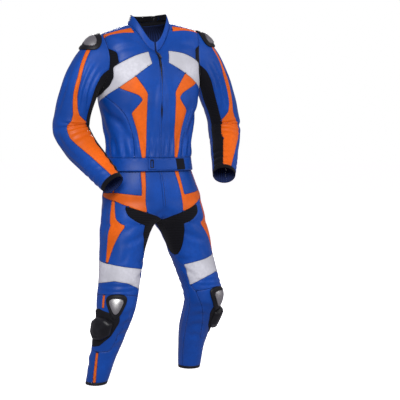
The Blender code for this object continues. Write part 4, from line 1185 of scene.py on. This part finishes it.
# Each cup: on the arm or not, outline, middle, heights, rounding, the plate's share and its shift
CUPS = {
    "shoulder_cup": (True, SHOULDER_CUP, (0, 0.026),
                     (0.014, 0.0135, 0.012, 0.0095, 0.0085, 0.0095, 0.0085, 0.005), 0.016, 0.54, (13, 0.0025)),
    "elbow_cup": (True, ELBOW_CUP, (-75, 0.292),
                  (0.0105, 0.010, 0.009, 0.0075, 0.0065, 0.0075, 0.0065, 0.004), 0.014, 0.60, (0, 0)),
    "knee_cup": (False, KNEE_CUP, (86, -1.072),
                 (0.0140, 0.0135, 0.012, 0.0095, 0.0085, 0.0095, 0.0085, 0.005), 0.026, 0.62, (0, 0)),
}
SLIDER_MIDDLE = (46, -1.170)
PATCH_PROFILE = [(0.0, 0.0030), (0.5, 0.0030), (0.9, 0.0030), (0.97, 0.0026), (1.0, 0.0008)]
PUCK_PROFILE = [(0.0, 0.0245), (0.30, 0.0243), (0.50, 0.0238), (0.56, 0.0222), (0.60, 0.0222), (0.64, 0.0236),
                (0.70, 0.0232), (0.86, 0.0180), (0.88, 0.0165), (0.99, 0.0085), (1.0, 0.0020)]
HUMP_PROFILE = [(0.0, 0.0400), (0.12, 0.0398), (0.24, 0.0388), (0.36, 0.0366), (0.48, 0.0330), (0.60, 0.0278),
                (0.72, 0.0210), (0.82, 0.0148), (0.90, 0.0098), (0.96, 0.0062), (0.99, 0.0040), (1.0, 0.0010)]
VENT_PROFILE = [(0.0, 0.0150), (0.6, 0.0150), (0.9, 0.0140), (1.0, 0.0090)]


def add_armour(looks):
    """Cups, knee sliders and the back hump."""
    torso_metric, arm_metric, leg_metric = (CHARTS[name]["metric"] for name in ("torso", "sleeve", "leg"))
    for word, side in SIDES.items():
        limb = (partial(leg, side), -side, leg_metric)
        for name, (on_arm, outline, middle, heights, rounding, part, shift) in CUPS.items():
            chart = (partial(sleeve, side), side, arm_metric) if on_arm else limb
            profile = list(zip(CUP_SHARES, heights)) + [(1.0, 0.0012)]
            cup = shrunk(outline, middle, CUP_SIZE)
            fit(dome(f"{name}_{word}", *chart, cup, middle, profile, looks["armour"], rounding, passes=24),
                "armour_black", f"{name}_{word}")
            centre = (middle[0] + shift[0], middle[1] + shift[1])
            profile = [(share, heights[1] + rise) for share, rise in
                       ((0.0, 0.0038), (0.45, 0.0034), (0.80, 0.0018), (0.95, 0.0004), (1.0, -0.006))]
            plate = shrunk(outline, middle, part * CUP_SIZE, shift)
            fit(dome(f"{name}_plate_{word}", *chart, plate, centre, profile, looks["plate"], rounding * 0.8,
                     passes=20), "zip_metal")
        fit(dome(f"slider_patch_{word}", *limb, SLIDER_PATCH, SLIDER_MIDDLE, PATCH_PROFILE, looks["patch"],
                 0.005), "slider_plastic")
        fit(dome(f"slider_puck_{word}", *limb, SLIDER_PUCK, SLIDER_MIDDLE, PUCK_PROFILE, looks["puck"], 0.003),
            "slider_plastic", f"knee_slider_{word}")
    fit(dome("back_hump", torso, 1, torso_metric, HUMP, (180, -0.055), HUMP_PROFILE, looks["hump"], 0.05, 120,
             HUMP_WAY), "white_hump", "back_hump")
    fit(dome("hump_vent", torso, 1, torso_metric, box(207, 197, -0.002, 0.004), (202, 0.001), VENT_PROFILE,
             looks["plate"], 0.004, 32, HUMP_WAY), "zip_metal")


def add_belt(looks):
    """The strap, its black end and the loop that it runs through."""
    band_strap = fit(strap("belt_strap", -12, 31, 0.0028, looks["blue"]), "blue_leather", "belt_strap")
    end = fit(strap("belt_end", 31.4, 47.5, 0.0034, looks["tape"]), "zip_tape")
    outer = smooth_loop(box(-25.5, -12.5, -0.5455, -0.5015), BELT_METRIC, 0.004, 48)
    inner = smooth_loop(box(-21.0, -17.0, -0.5375, -0.5095), BELT_METRIC, 0.002, 48)
    rim = smooth_loop(box(-22.2, -15.8, -0.5405, -0.5065), BELT_METRIC, 0.003, 48)
    loop = ring_strip("belt_loop", outer, inner, 0.0004, 0.0058, looks["blue"])
    fit(loop, "black_leather", "belt_loop")
    eye = fit(ring_strip("belt_eye", rim, inner, 0.0050, 0.0070, looks["armour"]), "black_leather")
    without_seams(loop)


TOOTH_FACES = ((0, 1, 3, 2), (4, 6, 7, 5), (0, 4, 5, 1), (2, 3, 7, 6), (0, 2, 6, 4), (1, 5, 7, 3))


def teeth(name, line, outs, spacing, size, looks):
    """A row of zip teeth, turned this way and that in turn."""
    lengths = reach_along(line)

    def read(values, at):
        return np.array([np.interp(at, lengths, values[:, c]) for c in range(3)])

    vertices, faces = [], []
    for k in range(int(lengths[-1] / spacing)):
        at = (k + 0.5) * spacing
        here, out = read(line, at), unit(read(outs, at))
        along = unit(read(line, at + 0.001) - here)
        across = np.cross(along, out)
        middle = here + across * (0.0007 if k % 2 else -0.0007)
        faces += [tuple(len(vertices) + i for i in face) for face in TOOTH_FACES]
        vertices += [middle + across * a * size[0] / 2 + along * b * size[1] / 2 + out * c * size[2] / 2
                     for a, b, c in product((-1, 1), repeat=3)]
    fit(new_object(name, vertices, faces, (looks["metal"],), smooth=False), "zip_metal")


def lip(name, places, surface, sign, material):
    """A narrow flap of leather that lies over one side of a zip."""
    made = fit(slab(name, places, surface, sign, 0.0004, 0.0017, material), "blue_leather")
    without_seams(made)
    return made


def add_lips(looks):
    """The flaps that hide both zips but for the top of the front one, each with its width and length."""
    share = np.linspace(0, 1, 5)[:, None]
    down = np.linspace(FLAP_TOP, BAND_TOP + 0.001, 90)[None, :]
    # the front flaps part a little near their top
    nearest = 0.35 + 1.5 * ease(down, FLAP_TOP - 0.125, FLAP_TOP)
    made = []
    for word, side in SIDES.items():
        angle = (ZIP_ANGLE + 0.7) * (1 - share) + nearest * share
        places = np.stack(np.broadcast_arrays(angle if side > 0 else 360 - angle, down), axis=-1)
        made.append((lip(f"zip_flap_{word}", places, torso, 1, looks["blue"]), 0.0068, 0.396))
        low = np.linspace(-0.5525, FLY_END - 0.002, 40)[None, :]
        angle = (FLY_ANGLE - 0.8) * (1 - share) + 179.5 * share
        places = np.stack(np.broadcast_arrays(angle, low), axis=-1)
        made.append((lip(f"fly_flap_{word}", places, partial(leg, side), -side, looks["blue"]), 0.0090, 0.138))
    return made


def add_zips(looks):
    """The teeth of both zips."""
    places = np.stack([np.zeros(160), np.linspace(BAND_TOP + 0.002, 0.0, 160)], axis=-1)
    front, over = (chart_point(torso, places, height, 1) for height in (0.0004, 0.01))
    teeth("chest_teeth", front, over - front, 0.0028, (0.0030, 0.0013, 0.0016), looks)
    front = leg(1, np.full(60, 180.0), np.linspace(FLY_END + 0.002, -0.556, 60)) + np.array([0, -0.0004, 0])
    teeth("fly_teeth", front, np.tile([0.0, -1.0, 0.0], (60, 1)), 0.0026, (0.0026, 0.0012, 0.0014), looks)


def build_skin():
    """All charts with their pieces, welded, folded and with their normals."""
    skin = Skin()
    skin.add("torso", torso, lay_out(CHARTS["torso"], TORSO_PIECES, ARMHOLES))
    skin.add("collar", collar, lay_out(CHARTS["collar"], COLLAR_PIECES))
    sleeve_layout = lay_out(CHARTS["sleeve"], SLEEVE_PIECES)
    for word, side in SIDES.items():
        pieces = [(name, outline[word] if name == "knee_band" else outline) for name, outline in LEG_PIECES]
        leg_layout = lay_out(CHARTS["leg"], pieces)
        skin.add("sleeve", partial(sleeve, side), sleeve_layout, "_" + word, turned=side < 0)
        skin.add("leg", partial(leg, side), leg_layout, "_" + word, turned=side > 0)
    skin.weld()
    skin.adopt_scraps()
    skin.set_normals()
    skin.fold()
    return skin


def add_floor():
    """A wide pale floor that doesn't light the suit's sides."""
    turns = np.radians(np.arange(0, 360, 7.5))
    vertices = [(0.0, 0.0, FLOOR)] + [(30 * math.cos(t), 30 * math.sin(t), FLOOR) for t in turns]
    faces = [(0, 1 + k, 1 + (k + 1) % len(turns)) for k in range(len(turns))]
    pale = Graph("studio_floor", (0.98, 0.98, 0.98), 0.9, Specular_IOR_Level=0.0, Emission_Strength=0.62)
    floor = new_object("studio_floor", vertices, faces, (pale.material,))
    floor.visible_diffuse = floor.visible_glossy = False


def add_world():
    """White behind the suit, and a dimmer light from all around."""
    world = bpy.data.worlds.new("studio")
    world.use_nodes = True
    nodes, links = world.node_tree.nodes, world.node_tree.links
    ray, shade = nodes.new("ShaderNodeLightPath"), nodes.new("ShaderNodeMix")
    shade.data_type = "RGBA"
    shade.inputs["A"].default_value = (*AMBIENT, 1)
    shade.inputs["B"].default_value = (1.0, 1.0, 1.0, 1)
    links.new(ray.outputs["Is Camera Ray"], shade.inputs["Factor"])
    links.new(shade.outputs["Result"], nodes["Background"].inputs["Color"])
    bpy.context.scene.world = world
    bpy.context.scene.view_settings.view_transform = "Standard"


# Name, place, width in metres and power in watts
LIGHTS = (
    ("key", (-1.9, -4.0, 1.3), 1.6, 165),
    ("fill", (3.0, -2.6, 0.6), 2.4, 32),
    ("back", (1.9, 4.0, 1.3), 1.6, 150),
)
AIM = Vector((0, 0, -0.7))


def add_lights():
    for name, place, size, power in LIGHTS:
        lamp = bpy.data.lights.new(name, "AREA")
        lamp.size = size
        lamp.energy = power
        light = bpy.data.objects.new(name, lamp)
        light.location = place
        light.rotation_euler = (AIM - Vector(place)).to_track_quat("-Z", "Y").to_euler()
        bpy.context.scene.collection.objects.link(light)


def add_camera():
    """A 90 mm lens 4 m away, with the suit's origin left of the middle and near the top."""
    azimuth, pitch, distance = math.radians(-27), math.radians(4), 4.0
    aside, above = -0.206, 0.672
    back = Vector((math.sin(azimuth) * math.cos(pitch), -math.cos(azimuth) * math.cos(pitch), math.sin(pitch)))
    right = Vector((math.cos(azimuth), math.sin(azimuth), 0))
    up = back.cross(right)
    camera = bpy.data.cameras.new("camera")
    camera.lens = 90
    camera.sensor_width = 36
    seen = bpy.data.objects.new("camera", camera)
    seen.location = back * distance - right * aside - up * above
    seen.rotation_euler = Matrix((right, up, back)).transposed().to_euler()
    bpy.context.scene.collection.objects.link(seen)
    bpy.context.scene.camera = seen


def main():
    looks = make_materials()
    skin = build_skin()
    nodes = frame["nodes"]
    add_zips(looks)
    stripes = {"left": [], "right": []}
    for name in sorted(set(skin.pieces)):
        stands_for = [name] if name in nodes else []
        if plain(name) == "jacket_front":
            stands_for = [name, name.replace("front", "yoke")]
        piece = fit(add_leather(skin, name, looks), SLOTS[finish_of(name)], *stands_for)
        if plain(name) in STRIPES:
            stripes[name.rsplit("_", 1)[1]].append(piece)
            continue
    for flap, width, length in add_lips(looks):
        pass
    add_armour(looks)
    add_belt(looks)
    for name in ("zip_slider", "zip_pull"):
        nodes[name].data.materials[0] = looks["metal"]
    add_floor()
    add_world()
    add_lights()
    add_camera()


main()
